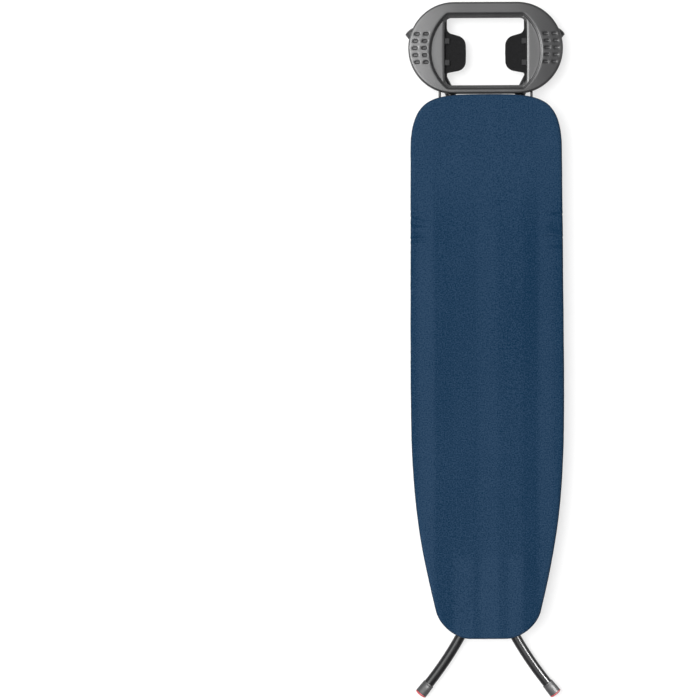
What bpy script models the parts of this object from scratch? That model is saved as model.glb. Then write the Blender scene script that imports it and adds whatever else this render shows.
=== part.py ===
"""A folding ironing board, folded flat and lying on its four feet with the ironing surface up.

Metres, +Z up. +Y runs to the square end and the iron rest, -Y to the nose. Places along the board are
measured from the board's own middle, and one empty sets that middle in the object's frame, so that the
origin lies under the middle of the whole folded object. Each moving group hangs on an empty that stands
on its joint's axis. The legs are a scissor: the front leg turns on the board, the rear leg turns on the
front leg, and guide blocks on the rear leg's top rod slide in two rails under the board.
"""

import math

import bmesh
import bpy
from mathutils import Matrix, Quaternion, Vector

GAP = 0.0003  # left between pieces that touch

# Board: half outline as knots (x, y, heading in degrees from +X, handle before, handle after, steps on)
HALF_OUTLINE = (
    (0.0000, 0.5555, 0.0, 0.000, 0.050, 3),
    (0.0980, 0.5485, -16.0, 0.025, 0.034, 8),
    (0.1540, 0.4410, -90.0, 0.075, 0.100, 3),
    (0.1560, -0.0450, -90.0, 0.150, 0.223, 9),
    (0.1065, -0.4960, -103.5, 0.146, 0.030, 7),
    (0.0360, -0.5520, -180.0, 0.030, 0.012, 1),
    (0.0000, -0.5520, -180.0, 0.012, 0.000, 0),
)

# Heights of the board's layers
COVER_LOW = 0.0292
COVER_TOP = 0.0525
COVER_CLOTH = 0.0012
LIP_REACH = 0.0185  # how far the cover turns in under the rim
LIP_CLOTH = 0.0008
FRAME_LOW = 0.0303
FRAME_TOP = 0.0437
FRAME_INSET = 0.004
FRAME_WIDTH = 0.009
SHEET = 0.0012  # sheet steel of the rim and the cross members
MESH_LOW = 0.0440
MESH_TOP = 0.0445
MESH_INSET = 0.005
PAD_LOW = 0.0455
PAD_TOP = 0.0510
HEM_INSET = 0.0163
HEM_Z = 0.0322
HEM_RADIUS = 0.0015

# Cross members under the mesh, by where they lie along the board
MEMBER_WIDTH = 0.018
MEMBER_LOW = 0.0370
MEMBERS = {
    "cross_member_end": 0.505,
    "cross_member_pivot": 0.4403,
    "cross_member_middle": -0.058,
    "cross_member_nose": -0.455,
}

# Scissor legs
FOOT_RADIUS = 0.0125
TUBE_Z = FOOT_RADIUS
TUBE_RADIUS = 0.0102
TUBE_WALL = 0.0009
AXIS_Z = 0.027
PIVOT_Y = MEMBERS["cross_member_pivot"]
ARM = 0.430  # from the centre bolts to the front leg's pivot, and to the slider
CENTRE_Y = PIVOT_Y - ARM
SLIDER_Y = CENTRE_Y - ARM
TUBE_OVERHANG = 0.012  # tube beyond its pivot
FOLD_MAX = math.radians(50)
FOOT_STRAIGHT = 0.0330

# A leg: tube's x, way along Y, pivot's y, end of its straight run, and bends as (radius, degrees)
FRONT_LEG = ("front", 0.036, -1, PIVOT_Y, -0.4719, ((0.1592, 29.4), (0.708, 9.1)))
REAR_LEG = ("rear", 0.059, 1, SLIDER_Y, 0.5084, ((0.1040, 23.6), (0.544, 13.9)))
FRONT_X = FRONT_LEG[1]
REAR_X = REAR_LEG[1]
BRACE_RADIUS = 0.007
FRONT_BRACES = {"front_leg_brace_upper": 0.250, "front_leg_brace_lower": -0.488}
REAR_BRACE_Y = 0.480

# Feet
PAD_THICK = 0.0045
PAD_DOME = 0.0034  # how far the sole's rim lies behind its middle
CAP_LENGTH = 0.0255
CAP_TOP_RADIUS = 0.0116
CAP_BORE_END = 0.0025

# Pivots, slider and rails
ROD_RADIUS = 0.004
RUNNING = 0.0003  # radial clearance of a running hole
LUG_HALF_LENGTH = 0.0065
LUG_RADIUS = 0.0119
LUG_EAR_WIDTH = 0.010
BRACKET_X = 0.049
BRACKET_THICK = 0.003
BOLT_RADIUS = 0.003
BOLT_HEAD_RADIUS = 0.0055
RAIL_X = 0.072
RAIL_DEPTH = 0.013
RAIL_HALF_HEIGHT = 0.0097
RAIL_SHEET = 0.0016
RAIL_NOSE_END = -0.462
RAIL_MIDDLE_END = -0.052
BLOCK_LENGTH = 0.030
BLOCK_PLAY = 0.0004

# Height latch: a notched channel on a lever rod that turns along the board
LATCH_X = 0.020
LATCH_Z = 0.013
LEVER_RADIUS = 0.00275
LEVER_Y = -0.045
LEVER_NOSE_END = -0.468
LEVER_BRIDGE_Z = 0.0260
LEVER_GRIP_Z = 0.012
STRIP_NOSE_END = -0.432
STRIP_MIDDLE_END = -0.066
STRIP_TOOTH_X = -0.015
STRIP_OUTER_X = 0.0249
STRIP_LOW = 0.0086
STRIP_SHEET = 0.0013
STRIP_BACK_TOP = 0.016
NOTCH_COUNT = 7
NOTCH_DEPTH = 0.005
NOTCH_PLAY = 0.002
NOTCH_RAMP = 0.014
GRIP_START = 0.0900
GRIP_PROFILE = ((0, 0.0050), (0.003, 0.0062), (0.020, 0.0056), (0.037, 0.0064), (0.040, 0.0050))
GRIP_BORE_END = 0.038
LOWEST_FOLD = math.radians(30)
HANGER_THICK = 0.0025

# Iron rest
REST_MIDDLE_Y = 0.6502
REST_LENGTH = 0.315
REST_DEPTH = 0.1864
REST_LOW = 0.029
REST_TOP = 0.046
REST_WALL = 0.0022
REST_SHELF = 0.0385
WINDOW_MIDDLE_Y = 0.6433
WINDOW_DEPTH = 0.1515
WINDOW_ARC = 0.098
WINDOW_REACH = 0.113
WELL_LEDGE = 0.005
WELL_REACH = 0.084
WELL_CORNER = 0.012
LEDGE_DROP = 0.0040  # how far the ledges slope down towards the well
WELL_LOW = 0.031
DOME_FLAT = 0.050  # the top is flat out to this x, and falls away beyond it
DOME_DROP = 0.007
DIMPLE_ROWS = 5
DIMPLE_PITCH = 0.01435
DIMPLE_COLUMNS = ((0.1440, 0.0045), (0.1250, 0.0035))  # x in the middle row, and how far it pulls in
DIMPLE_RIM = (0.0122, 0.0076)
DIMPLE_FLOOR = (0.0088, 0.0042)
DIMPLE_DEPTH = 0.0020
DIMPLE_WALL = 0.0014
TONGUE_X = (0.0735, 0.0855)
TONGUE_Z = (0.0307, 0.0345)
TONGUE_HALF_WIDTH = 0.0057
TONGUE_PLACES = (0.665, 0.621)
WIRE_X = 0.0935
WIRE_RADIUS = 0.0025
WIRE_Z = 0.0258
WIRE_BOARD_END = 0.494
WIRE_FAR_Y = 0.731
WING_LOW = 0.0289
WING_THICK = 0.0015
CLAMP_HALF_WIDTH = 0.008
CLAMP_LOW = 0.0222

# Finishes: base colour, roughness, metallic
BLUE_CLOTH = ((0.017, 0.052, 0.105), 0.95, 0.0)
DARK_CLOTH = ((0.010, 0.014, 0.022), 0.90, 0.0)
GREY_FELT = ((0.30, 0.30, 0.29), 0.95, 0.0)
BLACK_PAINT = ((0.012, 0.012, 0.013), 0.35, 0.0)
BLACK_TEXTURED = ((0.016, 0.016, 0.017), 0.60, 0.0)
GREY_PLASTIC = ((0.095, 0.095, 0.098), 0.50, 0.0)
CAP_PLASTIC = ((0.060, 0.060, 0.062), 0.50, 0.0)
NYLON = ((0.55, 0.55, 0.52), 0.45, 0.0)
RED_RUBBER = ((0.50, 0.045, 0.055), 0.60, 0.0)
GREY_RUBBER = ((0.050, 0.050, 0.052), 0.65, 0.0)
ZINC = ((0.62, 0.62, 0.64), 0.32, 1.0)


def foot_end(leg):
    """The middle of a leg's sole, on the +X side, and its heading, from the leg's runs and bends."""
    points, heading = leg_line(leg, 1)
    return points[-1], heading


def leg_line(leg, side, trim=0.0):
    """Points along a leg's tube from its top end, and its last heading. trim shortens the foot's end."""
    _, x, way, pivot_y, straight_end, bends = leg
    points = [Vector((side * x, pivot_y - way * TUBE_OVERHANG, TUBE_Z))]
    place = Vector((side * x, straight_end, TUBE_Z))
    points.append(place.copy())
    turned_to = 0.0
    for radius, degrees in bends:
        start = turned_to
        turned_to += math.radians(degrees)
        steps = 5
        for step in range(1, steps + 1):
            angle = start + (turned_to - start) * step / steps
            across = side * radius * (math.cos(start) - math.cos(angle))
            along = way * radius * (math.sin(angle) - math.sin(start))
            points.append(place + Vector((across, along, 0)))
        place = points[-1]
    heading = Vector((side * math.sin(turned_to), way * math.cos(turned_to), 0))
    points.append(place + heading * (FOOT_STRAIGHT - trim))
    return points, heading


FRONT_SOLE, FRONT_HEADING = foot_end(FRONT_LEG)
FRONT_REACH = -FRONT_SOLE.y + FOOT_RADIUS * FRONT_HEADING.x + PAD_DOME * FRONT_HEADING.y
REST_REACH = REST_MIDDLE_Y + REST_DEPTH / 2
MIDDLE_Y = (FRONT_REACH - REST_REACH) / 2

# Where each group's joint axis stands, from the board's middle, and the group that it hangs on
AXES = {
    "board": (Vector((0, 0, 0)), None),
    "front_leg": (Vector((0, PIVOT_Y, AXIS_Z)), "board"),
    "rear_leg": (Vector((0, CENTRE_Y, TUBE_Z)), "front_leg"),
    "slider": (Vector((0, SLIDER_Y, AXIS_Z)), "rear_leg"),
    "latch": (Vector((LATCH_X, LEVER_Y, LATCH_Z)), "board"),
}
EMPTIES = {}


def clear_scene():
    for obj in list(bpy.data.objects):
        bpy.data.objects.remove(obj)


def add_empties():
    """One empty on each joint's axis, the board's own at the board's middle."""
    for group, (place, parent) in AXES.items():
        empty = bpy.data.objects.new(group + "_axis", None)
        bpy.context.scene.collection.objects.link(empty)
        empty.empty_display_size = 0.05
        if parent:
            empty.parent = EMPTIES[parent]
            empty.location = place - AXES[parent][0]
        else:
            empty.location = place + Vector((0, MIDDLE_Y, 0))
        EMPTIES[group] = empty


def finish_material(name, finish):
    colour, roughness, metallic = finish
    material = bpy.data.materials.new(name)
    material.use_nodes = True
    shader = material.node_tree.nodes["Principled BSDF"]
    shader.inputs["Base Color"].default_value = (*colour, 1.0)
    shader.inputs["Roughness"].default_value = roughness
    shader.inputs["Metallic"].default_value = metallic
    material.diffuse_color = (*colour, 1.0)
    return material


def add_object(name, bm, group):
    """An object of the mesh, hung on its group's empty, with its origin on the joint's axis."""
    bmesh.ops.recalc_face_normals(bm, faces=bm.faces)
    bmesh.ops.translate(bm, verts=bm.verts, vec=-AXES[group][0])
    mesh = bpy.data.meshes.new(name)
    bm.to_mesh(mesh)
    bm.free()
    obj = bpy.data.objects.new(name, mesh)
    bpy.context.scene.collection.objects.link(obj)
    obj.parent = EMPTIES[group]
    return obj


def add_piece(name, bm, group, finish, smooth=True):
    obj = add_object(name, bm, group)
    obj.data.materials.append(finish_material(name, finish))
    if smooth:
        obj.data.shade_smooth()
        obj.data.set_sharp_from_angle(angle=math.radians(35))
    return obj


def combine(obj, name, bm, group, operation="DIFFERENCE"):
    """Cuts a helper's shape out of a piece, or joins it on."""
    helper = add_object(name, bm, group)
    helper.hide_render = True
    helper.display_type = "WIRE"
    boolean = obj.modifiers.new(name, "BOOLEAN")
    boolean.operation = operation
    boolean.object = helper


def skin(bm, loops, closed):
    """Faces between loops of equally many points, either closed into a ring or capped at both ends."""
    rows = [[bm.verts.new(point) for point in loop] for loop in loops]
    pairs = list(zip(rows, rows[1:]))
    if closed:
        pairs.append((rows[-1], rows[0]))
    else:
        bm.faces.new(rows[0])
        bm.faces.new(rows[-1])
    count = len(rows[0])
    for first, second in pairs:
        for i in range(count):
            j = (i + 1) % count
            bm.faces.new((first[i], second[i], second[j], first[j]))


def circle(radius, sides, centre=(0.0, 0.0)):
    turns = [2 * math.pi * i / sides for i in range(sides)]
    return [(centre[0] + radius * math.cos(t), centre[1] + radius * math.sin(t)) for t in turns]


def rounded(corners):
    """An outline through corners (x, y, radius), each with a radius rounded by an arc."""
    outline = []
    count = len(corners)
    for i, (x, y, radius) in enumerate(corners):
        corner = Vector((x, y))
        before = (Vector(corners[i - 1][:2]) - corner).normalized()
        after = (Vector(corners[(i + 1) % count][:2]) - corner).normalized()
        if radius == 0:
            outline.append((x, y))
            continue
        half = before.angle(after) / 2
        start = corner + before * (radius / math.tan(half))
        centre = corner + (before + after).normalized() * (radius / math.sin(half))
        sweep = math.pi - 2 * half
        turn = math.copysign(sweep, before.cross(after) * -1)
        steps = max(2, round(sweep / math.radians(22)))
        spoke = start - centre
        for step in range(steps + 1):
            arm = Matrix.Rotation(turn * step / steps, 2) @ spoke
            outline.append((centre.x + arm.x, centre.y + arm.y))
    return outline


def place_flat(point, along, depth):
    """A flat outline's point in space. along names the axis that the outline is extruded on."""
    u, v = point
    return {"X": Vector((depth, u, v)), "Y": Vector((u, depth, v)), "Z": Vector((u, v, depth))}[along]


def extruded(along, low, high, outline, holes=()):
    """A flat outline with holes, extruded along an axis from low to high."""
    bm = bmesh.new()
    for loop in (outline, *holes):
        corners = [bm.verts.new(place_flat(point, along, low)) for point in loop]
        for i, corner in enumerate(corners):
            bm.edges.new((corners[i - 1], corner))
    bmesh.ops.triangle_fill(bm, use_beauty=True, edges=bm.edges[:])
    made = bmesh.ops.extrude_face_region(bm, geom=bm.faces[:])
    lifted = [item for item in made["geom"] if isinstance(item, bmesh.types.BMVert)]
    bmesh.ops.translate(bm, verts=lifted, vec=place_flat((0, 0), along, high - low))
    return bm


def ring(place, heading, up, radius, sides, hexagonal=False):
    """Points of a circle, or of a hexagon, round a line."""
    across = heading.cross(up).normalized()
    up = across.cross(heading)
    points = []
    for i in range(sides):
        angle = 2 * math.pi * i / sides
        reach = radius * (math.cos(math.pi / 6) if hexagonal and i % 2 else 1.0)
        points.append(place + reach * (math.cos(angle) * across + math.sin(angle) * up))
    return points


def turned(start, heading, profile, closed=False, sides=16, hexagons=()):
    """A round piece about a line: profile lists (distance along the line, radius)."""
    heading = Vector(heading).normalized()
    up = Vector((0, 0, 1))
    loops = []
    for i, (distance, radius) in enumerate(profile):
        place = Vector(start) + heading * distance
        loops.append(ring(place, heading, up, radius, sides, i in hexagons))
    bm = bmesh.new()
    skin(bm, loops, closed)
    return bm


def sleeve(start, heading, length, radius, bore, sides=16):
    """A plain tube, bush or washer."""
    profile = ((0, radius), (length, radius), (length, bore), (0, bore))
    return turned(start, heading, profile, closed=True, sides=sides)


def swept(path, radius, bore=None, sides=12):
    """A round bar, or a tube if it has a bore, along a path of points."""
    up = Vector((0, 0, 1))
    outer, inner = [], []
    for i, place in enumerate(path):
        ahead = path[min(i + 1, len(path) - 1)]
        behind = path[max(i - 1, 0)]
        heading = (ahead - behind).normalized()
        up = (up - heading * up.dot(heading)).normalized()
        outer.append(ring(place, heading, up, radius, sides))
        if bore:
            inner.append(ring(place, heading, up, bore, sides))
    bm = bmesh.new()
    skin(bm, outer + inner[::-1], closed=bool(bore))
    return bm


def bent_wire(corners, bend, steps=5):
    """A path through corners in space, each turned with the same bend radius."""
    path = [Vector(corners[0])]
    for before, corner, after in zip(corners, corners[1:], corners[2:]):
        corner = Vector(corner)
        back = (Vector(before) - corner).normalized()
        on = (Vector(after) - corner).normalized()
        half = back.angle(on) / 2
        reach = bend / math.tan(half)
        centre = corner + (back + on).normalized() * (bend / math.sin(half))
        start = corner + back * reach - centre
        end = corner + on * reach - centre
        axis, sweep = start.cross(end), start.angle(end)
        for step in range(steps + 1):
            path.append(centre + Quaternion(axis, sweep * step / steps) @ start)
    path.append(Vector(corners[-1]))
    return path


def bezier(first, second, t):
    """Place and heading at t between two knots of the board's outline."""
    angle_a, angle_b = math.radians(first[2]), math.radians(second[2])
    a, d = Vector(first[:2]), Vector(second[:2])
    b = a + first[4] * Vector((math.cos(angle_a), math.sin(angle_a)))
    c = d - second[3] * Vector((math.cos(angle_b), math.sin(angle_b)))
    s = 1 - t
    place = s**3 * a + 3 * s * s * t * b + 3 * s * t * t * c + t**3 * d
    heading = 3 * s * s * (b - a) + 6 * s * t * (c - b) + 3 * t * t * (d - c)
    return place, heading.normalized()


def board_outline(inset):
    """The board's outline, moved in by a distance, clockwise from the middle of the square end."""
    half = []
    for first, second in zip(HALF_OUTLINE, HALF_OUTLINE[1:]):
        for step in range(first[5]):
            place, heading = bezier(first, second, step / first[5])
            half.append((place.x + inset * heading.y, place.y - inset * heading.x))
    half.append((0.0, HALF_OUTLINE[-1][1] + inset))
    return half + [(-x, y) for x, y in half[-2:0:-1]]


def half_width(y, inset):
    """The outline's half width at y."""
    half = board_outline(inset)[: len(board_outline(inset)) // 2 + 1]
    for (x0, y0), (x1, y1) in zip(half, half[1:]):
        if y1 <= y <= y0:
            return x0 + (x1 - x0) * (y0 - y) / (y0 - y1)
    raise ValueError(y)


def board_loops(section):
    """Loops round the board for a section of (inset, height)."""
    return [[Vector((x, y, height)) for x, y in board_outline(inset)] for inset, height in section]


def round_board(section, closed):
    bm = bmesh.new()
    skin(bm, board_loops(section), closed)
    return bm


def make_cover_and_pad():
    top = COVER_TOP
    inner = COVER_TOP - COVER_CLOTH
    lip = COVER_LOW + LIP_CLOTH
    section = (
        (0.0100, top), (0.0040, top - 0.0005), (0.0012, top - 0.0023), (0.0, top - 0.0060),
        (0.0, COVER_LOW + 0.0033), (0.0012, COVER_LOW + 0.0008), (0.0035, COVER_LOW),
        (LIP_REACH, COVER_LOW), (LIP_REACH, lip), (0.0040, lip), (0.0024, lip + 0.0006),
        (COVER_CLOTH, lip + 0.0025), (COVER_CLOTH, top - 0.0060), (0.0022, top - 0.0029),
        (0.0046, inner - 0.0003), (0.0100, inner),
    )
    add_piece("cover", round_board(section, closed=False), "board", BLUE_CLOTH)
    pad = (
        (0.0018, PAD_LOW), (0.0018, PAD_LOW + 0.0015), (0.0030, PAD_TOP - 0.0015),
        (0.0055, PAD_TOP - 0.0003), (0.0100, PAD_TOP),
    )
    add_piece("pad", round_board(pad, closed=False), "board", GREY_FELT)
    loops = []
    for i in range(6):
        angle = 2 * math.pi * i / 6
        loops.append((HEM_INSET + HEM_RADIUS * math.cos(angle), HEM_Z + HEM_RADIUS * math.sin(angle)))
    add_piece("hem_cord", round_board(loops, closed=True), "board", DARK_CLOTH)


def make_board_frame():
    inner = FRAME_INSET + FRAME_WIDTH
    wall = FRAME_INSET + SHEET
    channel = (
        (FRAME_INSET, FRAME_LOW), (FRAME_INSET, FRAME_TOP), (inner, FRAME_TOP),
        (inner, FRAME_TOP - SHEET), (wall, FRAME_TOP - SHEET), (wall, FRAME_LOW + SHEET),
        (inner, FRAME_LOW + SHEET), (inner, FRAME_LOW),
    )
    add_piece("edge_frame", round_board(channel, closed=True), "board", BLACK_PAINT)
    sheet = ((MESH_INSET, MESH_LOW), (MESH_INSET, MESH_TOP))
    add_piece("mesh_top", round_board(sheet, closed=False), "board", BLACK_PAINT, smooth=False)
    for name, y in MEMBERS.items():
        low_y, high_y = y - MEMBER_WIDTH / 2, y + MEMBER_WIDTH / 2
        reach = min(half_width(low_y, inner), half_width(high_y, inner)) - GAP
        outline = rectangle(low_y, MEMBER_LOW, high_y, FRAME_TOP)
        bore = rectangle(low_y + SHEET, MEMBER_LOW + SHEET, high_y - SHEET, FRAME_TOP - SHEET)
        add_piece(name, extruded("X", -reach, reach, outline, [bore]), "board", BLACK_PAINT, smooth=False)


def rectangle(low_u, low_v, high_u, high_v):
    return [(low_u, low_v), (high_u, low_v), (high_u, high_v), (low_u, high_v)]


def sides():
    return (("left", -1), ("right", 1))


def make_rails():
    top = AXIS_Z + RAIL_HALF_HEIGHT
    low = AXIS_Z - RAIL_HALF_HEIGHT
    for side_name, side in sides():
        mouth = side * RAIL_X
        back = side * (RAIL_X + RAIL_DEPTH)
        web = side * (RAIL_X + RAIL_DEPTH - RAIL_SHEET)
        channel = [
            (mouth, low), (back, low), (back, top), (mouth, top),
            (mouth, top - RAIL_SHEET), (web, top - RAIL_SHEET),
            (web, low + RAIL_SHEET), (mouth, low + RAIL_SHEET),
        ]
        bm = extruded("Y", RAIL_NOSE_END, RAIL_MIDDLE_END, channel)
        add_piece("rail_" + side_name, bm, "board", BLACK_PAINT, smooth=False)
        half = BLOCK_LENGTH / 2
        height = RAIL_HALF_HEIGHT - RAIL_SHEET - BLOCK_PLAY
        outline = rounded([
            (SLIDER_Y - half, AXIS_Z - height, 0.002), (SLIDER_Y + half, AXIS_Z - height, 0.002),
            (SLIDER_Y + half, AXIS_Z + height, 0.002), (SLIDER_Y - half, AXIS_Z + height, 0.002),
        ])
        hole = circle(ROD_RADIUS + RUNNING, 16, (SLIDER_Y, AXIS_Z))
        inner_face = side * (RAIL_X + 0.0008)
        outer_face = side * (RAIL_X + RAIL_DEPTH - RAIL_SHEET - BLOCK_PLAY)
        bm = extruded("X", min(inner_face, outer_face), max(inner_face, outer_face), outline, [hole])
        add_piece("guide_block_" + side_name, bm, "slider", NYLON)


def make_pivot():
    """The axle that the front leg turns on, its brackets under the cross member and its end washers."""
    end = BRACKET_X + BRACKET_THICK + 0.004
    axle = turned((-end, PIVOT_Y, AXIS_Z), (1, 0, 0), ((0, ROD_RADIUS), (2 * end, ROD_RADIUS)))
    add_piece("pivot_axle", axle, "board", ZINC)
    top = MEMBER_LOW - GAP
    outline = rounded([
        (PIVOT_Y - 0.015, top, 0), (PIVOT_Y - 0.0062, AXIS_Z - 0.0060, 0.0055),
        (PIVOT_Y + 0.0062, AXIS_Z - 0.0060, 0.0055), (PIVOT_Y + 0.015, top, 0),
    ])
    hole = circle(ROD_RADIUS + RUNNING, 16, (PIVOT_Y, AXIS_Z))
    for side_name, side in sides():
        faces = sorted((side * BRACKET_X, side * (BRACKET_X + BRACKET_THICK)))
        bm = extruded("X", *faces, outline, [hole])
        add_piece("pivot_bracket_" + side_name, bm, "board", BLACK_PAINT)
        start = (side * (BRACKET_X + BRACKET_THICK + GAP), PIVOT_Y, AXIS_Z)
        washer = sleeve(start, (side, 0, 0), 0.002, 0.0050, ROD_RADIUS + GAP)
        add_piece("axle_washer_" + side_name, washer, "board", ZINC)


def make_lug(name, leg, side, group):
    """A collar on a leg's tube with an ear that stands up round the pivot."""
    _, x, _, pivot_y, _, _ = leg
    centre = side * x
    half_ear = LUG_EAR_WIDTH / 2
    ear_top = AXIS_Z + 0.0065
    shoulder = math.asin(half_ear / LUG_RADIUS)
    outline = [(centre + half_ear, ear_top), (centre - half_ear, ear_top)]
    steps = 16
    for step in range(steps + 1):
        angle = math.pi / 2 + shoulder + (2 * math.pi - 2 * shoulder) * step / steps
        outline.append((centre + LUG_RADIUS * math.cos(angle), TUBE_Z + LUG_RADIUS * math.sin(angle)))
    hole = circle(TUBE_RADIUS + GAP, 16, (centre, TUBE_Z))
    bm = extruded("Y", pivot_y - LUG_HALF_LENGTH, pivot_y + LUG_HALF_LENGTH, outline, [hole])
    lug = add_piece(name, bm, group, BLACK_PAINT)
    reach = LUG_EAR_WIDTH
    bore = ROD_RADIUS + RUNNING
    drill = turned((centre - reach, pivot_y, AXIS_Z), (1, 0, 0), ((0, bore), (2 * reach, bore)))
    combine(lug, name + "_hole", drill, group)


def make_leg(leg, group):
    """The two tubes of a leg with their lugs, foot caps and pads."""
    leg_name, x, _, _, _, _ = leg
    for side_name, side in sides():
        path, heading = leg_line(leg, side, trim=PAD_THICK + CAP_BORE_END + 2 * GAP)
        name = f"{leg_name}_leg_tube_{side_name}"
        tube = add_piece(name, swept(path, TUBE_RADIUS, TUBE_RADIUS - TUBE_WALL), group, BLACK_PAINT)
        reach = 1.5 * TUBE_RADIUS
        bolt_bore = BOLT_RADIUS + RUNNING
        start = (side * x - reach, CENTRE_Y, TUBE_Z)
        drill = turned(start, (1, 0, 0), ((0, bolt_bore), (2 * reach, bolt_bore)), sides=12)
        combine(tube, name + "_hole", drill, group)
        make_lug(f"{leg_name}_leg_lug_{side_name}", leg, side, group)
        sole = leg_line(leg, side)[0][-1]
        cap_start = sole - heading * (PAD_THICK + CAP_LENGTH)
        bore_end = CAP_LENGTH - GAP - CAP_BORE_END
        bore = TUBE_RADIUS + GAP
        length = CAP_LENGTH - GAP
        profile = ((bore_end, bore), (0, bore), (0, CAP_TOP_RADIUS), (length, FOOT_RADIUS - 0.0002))
        cap = turned(cap_start, heading, profile)
        add_piece(f"{leg_name}_foot_{side_name}", cap, group, CAP_PLASTIC)
        profile = (
            (0, FOOT_RADIUS), (PAD_THICK - PAD_DOME, FOOT_RADIUS),
            (PAD_THICK - 0.3 * PAD_DOME, 0.7 * FOOT_RADIUS), (PAD_THICK, 0.3 * FOOT_RADIUS),
        )
        pad = turned(sole - heading * PAD_THICK, heading, profile)
        rubber = RED_RUBBER if leg_name == "front" else GREY_RUBBER
        add_piece(f"{leg_name}_sole_{side_name}", pad, group, rubber)


def make_brace(name, y, tube_x, group):
    reach = tube_x - TUBE_RADIUS - GAP
    bm = sleeve((-reach, y, TUBE_Z), (1, 0, 0), 2 * reach, BRACE_RADIUS, BRACE_RADIUS - TUBE_WALL, sides=12)
    add_piece(name, bm, group, BLACK_PAINT)


def make_centre_bolts():
    """Bolts through both legs, with a washer between the tubes and a nut outside."""
    head_face = FRONT_X - TUBE_RADIUS - GAP
    nut_face = REAR_X + TUBE_RADIUS + GAP
    head, nut = 0.0030, 0.0040
    for side_name, side in sides():
        start = (side * (head_face - head), CENTRE_Y, TUBE_Z)
        shank = nut_face + nut + 0.001 - head_face + head
        head_profile = ((0, BOLT_HEAD_RADIUS), (head, BOLT_HEAD_RADIUS))
        profile = head_profile + ((head, BOLT_RADIUS), (shank, BOLT_RADIUS))
        bolt = turned(start, (side, 0, 0), profile, sides=12, hexagons=(0, 1))
        add_piece("centre_bolt_" + side_name, bolt, "front_leg", ZINC)
        inner = FRONT_X + TUBE_RADIUS + GAP
        thick = REAR_X - TUBE_RADIUS - GAP - inner
        washer_bore = BOLT_RADIUS + RUNNING
        washer = sleeve((side * inner, CENTRE_Y, TUBE_Z), (side, 0, 0), thick, 0.008, washer_bore, 14)
        add_piece("centre_washer_" + side_name, washer, "front_leg", NYLON)
        bore = BOLT_RADIUS + GAP
        ring_profile = ((0, BOLT_HEAD_RADIUS), (nut, BOLT_HEAD_RADIUS), (nut, bore), (0, bore))
        nut_start = (side * nut_face, CENTRE_Y, TUBE_Z)
        nut_mesh = turned(nut_start, (side, 0, 0), ring_profile, closed=True, sides=12, hexagons=(0, 1))
        add_piece("centre_nut_" + side_name, nut_mesh, "front_leg", ZINC)


def make_slider_rod():
    """The rear leg's top rod, with spacers between the lugs and the guide blocks."""
    end = RAIL_X + RAIL_DEPTH - RAIL_SHEET - 0.001
    profile = ((0, ROD_RADIUS), (2 * end, ROD_RADIUS))
    add_piece("slider_rod", turned((-end, SLIDER_Y, AXIS_Z), (1, 0, 0), profile), "rear_leg", ZINC)
    start_x = REAR_X + 0.0083  # clear of the lug's collar
    length = RAIL_X - start_x
    for side_name, side in sides():
        spacer = sleeve((side * start_x, SLIDER_Y, AXIS_Z), (side, 0, 0), length, 0.0055, ROD_RADIUS + GAP)
        add_piece("rod_spacer_" + side_name, spacer, "rear_leg", NYLON)


def slider_at(fold):
    """Where the slider rod stands along the board when the legs are opened by an angle."""
    rise = AXIS_Z - TUBE_Z
    return PIVOT_Y - 2 * ARM * math.cos(fold) + 2 * rise * math.sin(fold)


def make_latch():
    """The notched channel, the lever rod that carries it and the lever's grip."""
    tooth_top = AXIS_Z - ROD_RADIUS - GAP
    outline = [
        (STRIP_TOOTH_X, STRIP_LOW), (STRIP_OUTER_X, STRIP_LOW), (STRIP_OUTER_X, STRIP_BACK_TOP),
        (STRIP_OUTER_X - STRIP_SHEET, STRIP_BACK_TOP),
        (STRIP_OUTER_X - STRIP_SHEET, STRIP_LOW + STRIP_SHEET),
        (STRIP_TOOTH_X + STRIP_SHEET, STRIP_LOW + STRIP_SHEET), (STRIP_TOOTH_X + STRIP_SHEET, tooth_top),
        (STRIP_TOOTH_X, tooth_top),
    ]
    channel = extruded("Y", STRIP_NOSE_END, STRIP_MIDDLE_END, outline)
    strip = add_piece("latch_strip", channel, "latch", ZINC, smooth=False)
    first, last = slider_at(LOWEST_FOLD), slider_at(FOLD_MAX)
    for i in range(NOTCH_COUNT):
        y = first + (last - first) * i / (NOTCH_COUNT - 1)
        stop = y - ROD_RADIUS - GAP
        notch = [
            (stop, tooth_top + 0.002), (stop, tooth_top - NOTCH_DEPTH),
            (y + NOTCH_PLAY, tooth_top - NOTCH_DEPTH), (y + NOTCH_RAMP, tooth_top),
            (y + NOTCH_RAMP, tooth_top + 0.002),
        ]
        cutter = extruded("X", STRIP_TOOTH_X - 0.005, STRIP_TOOTH_X + 0.005, notch)
        combine(strip, f"notch_{i + 1}", cutter, "latch")
    corners = (
        (LATCH_X, LEVER_NOSE_END, LATCH_Z), (LATCH_X, LEVER_Y, LATCH_Z),
        (LATCH_X, LEVER_Y, LEVER_BRIDGE_Z), (REAR_X + 0.008, LEVER_Y, LEVER_BRIDGE_Z),
        (0.084, LEVER_Y, LEVER_GRIP_Z), (0.127, LEVER_Y, LEVER_GRIP_Z),
    )
    add_piece("release_lever", swept(bent_wire(corners, 0.006), LEVER_RADIUS), "latch", ZINC)
    bore = LEVER_RADIUS + GAP
    profile = ((GRIP_BORE_END, bore), (0, bore)) + GRIP_PROFILE
    grip = turned((GRIP_START, LEVER_Y, LEVER_GRIP_Z), (1, 0, 0), profile)
    add_piece("release_grip", grip, "latch", CAP_PLASTIC)


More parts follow.
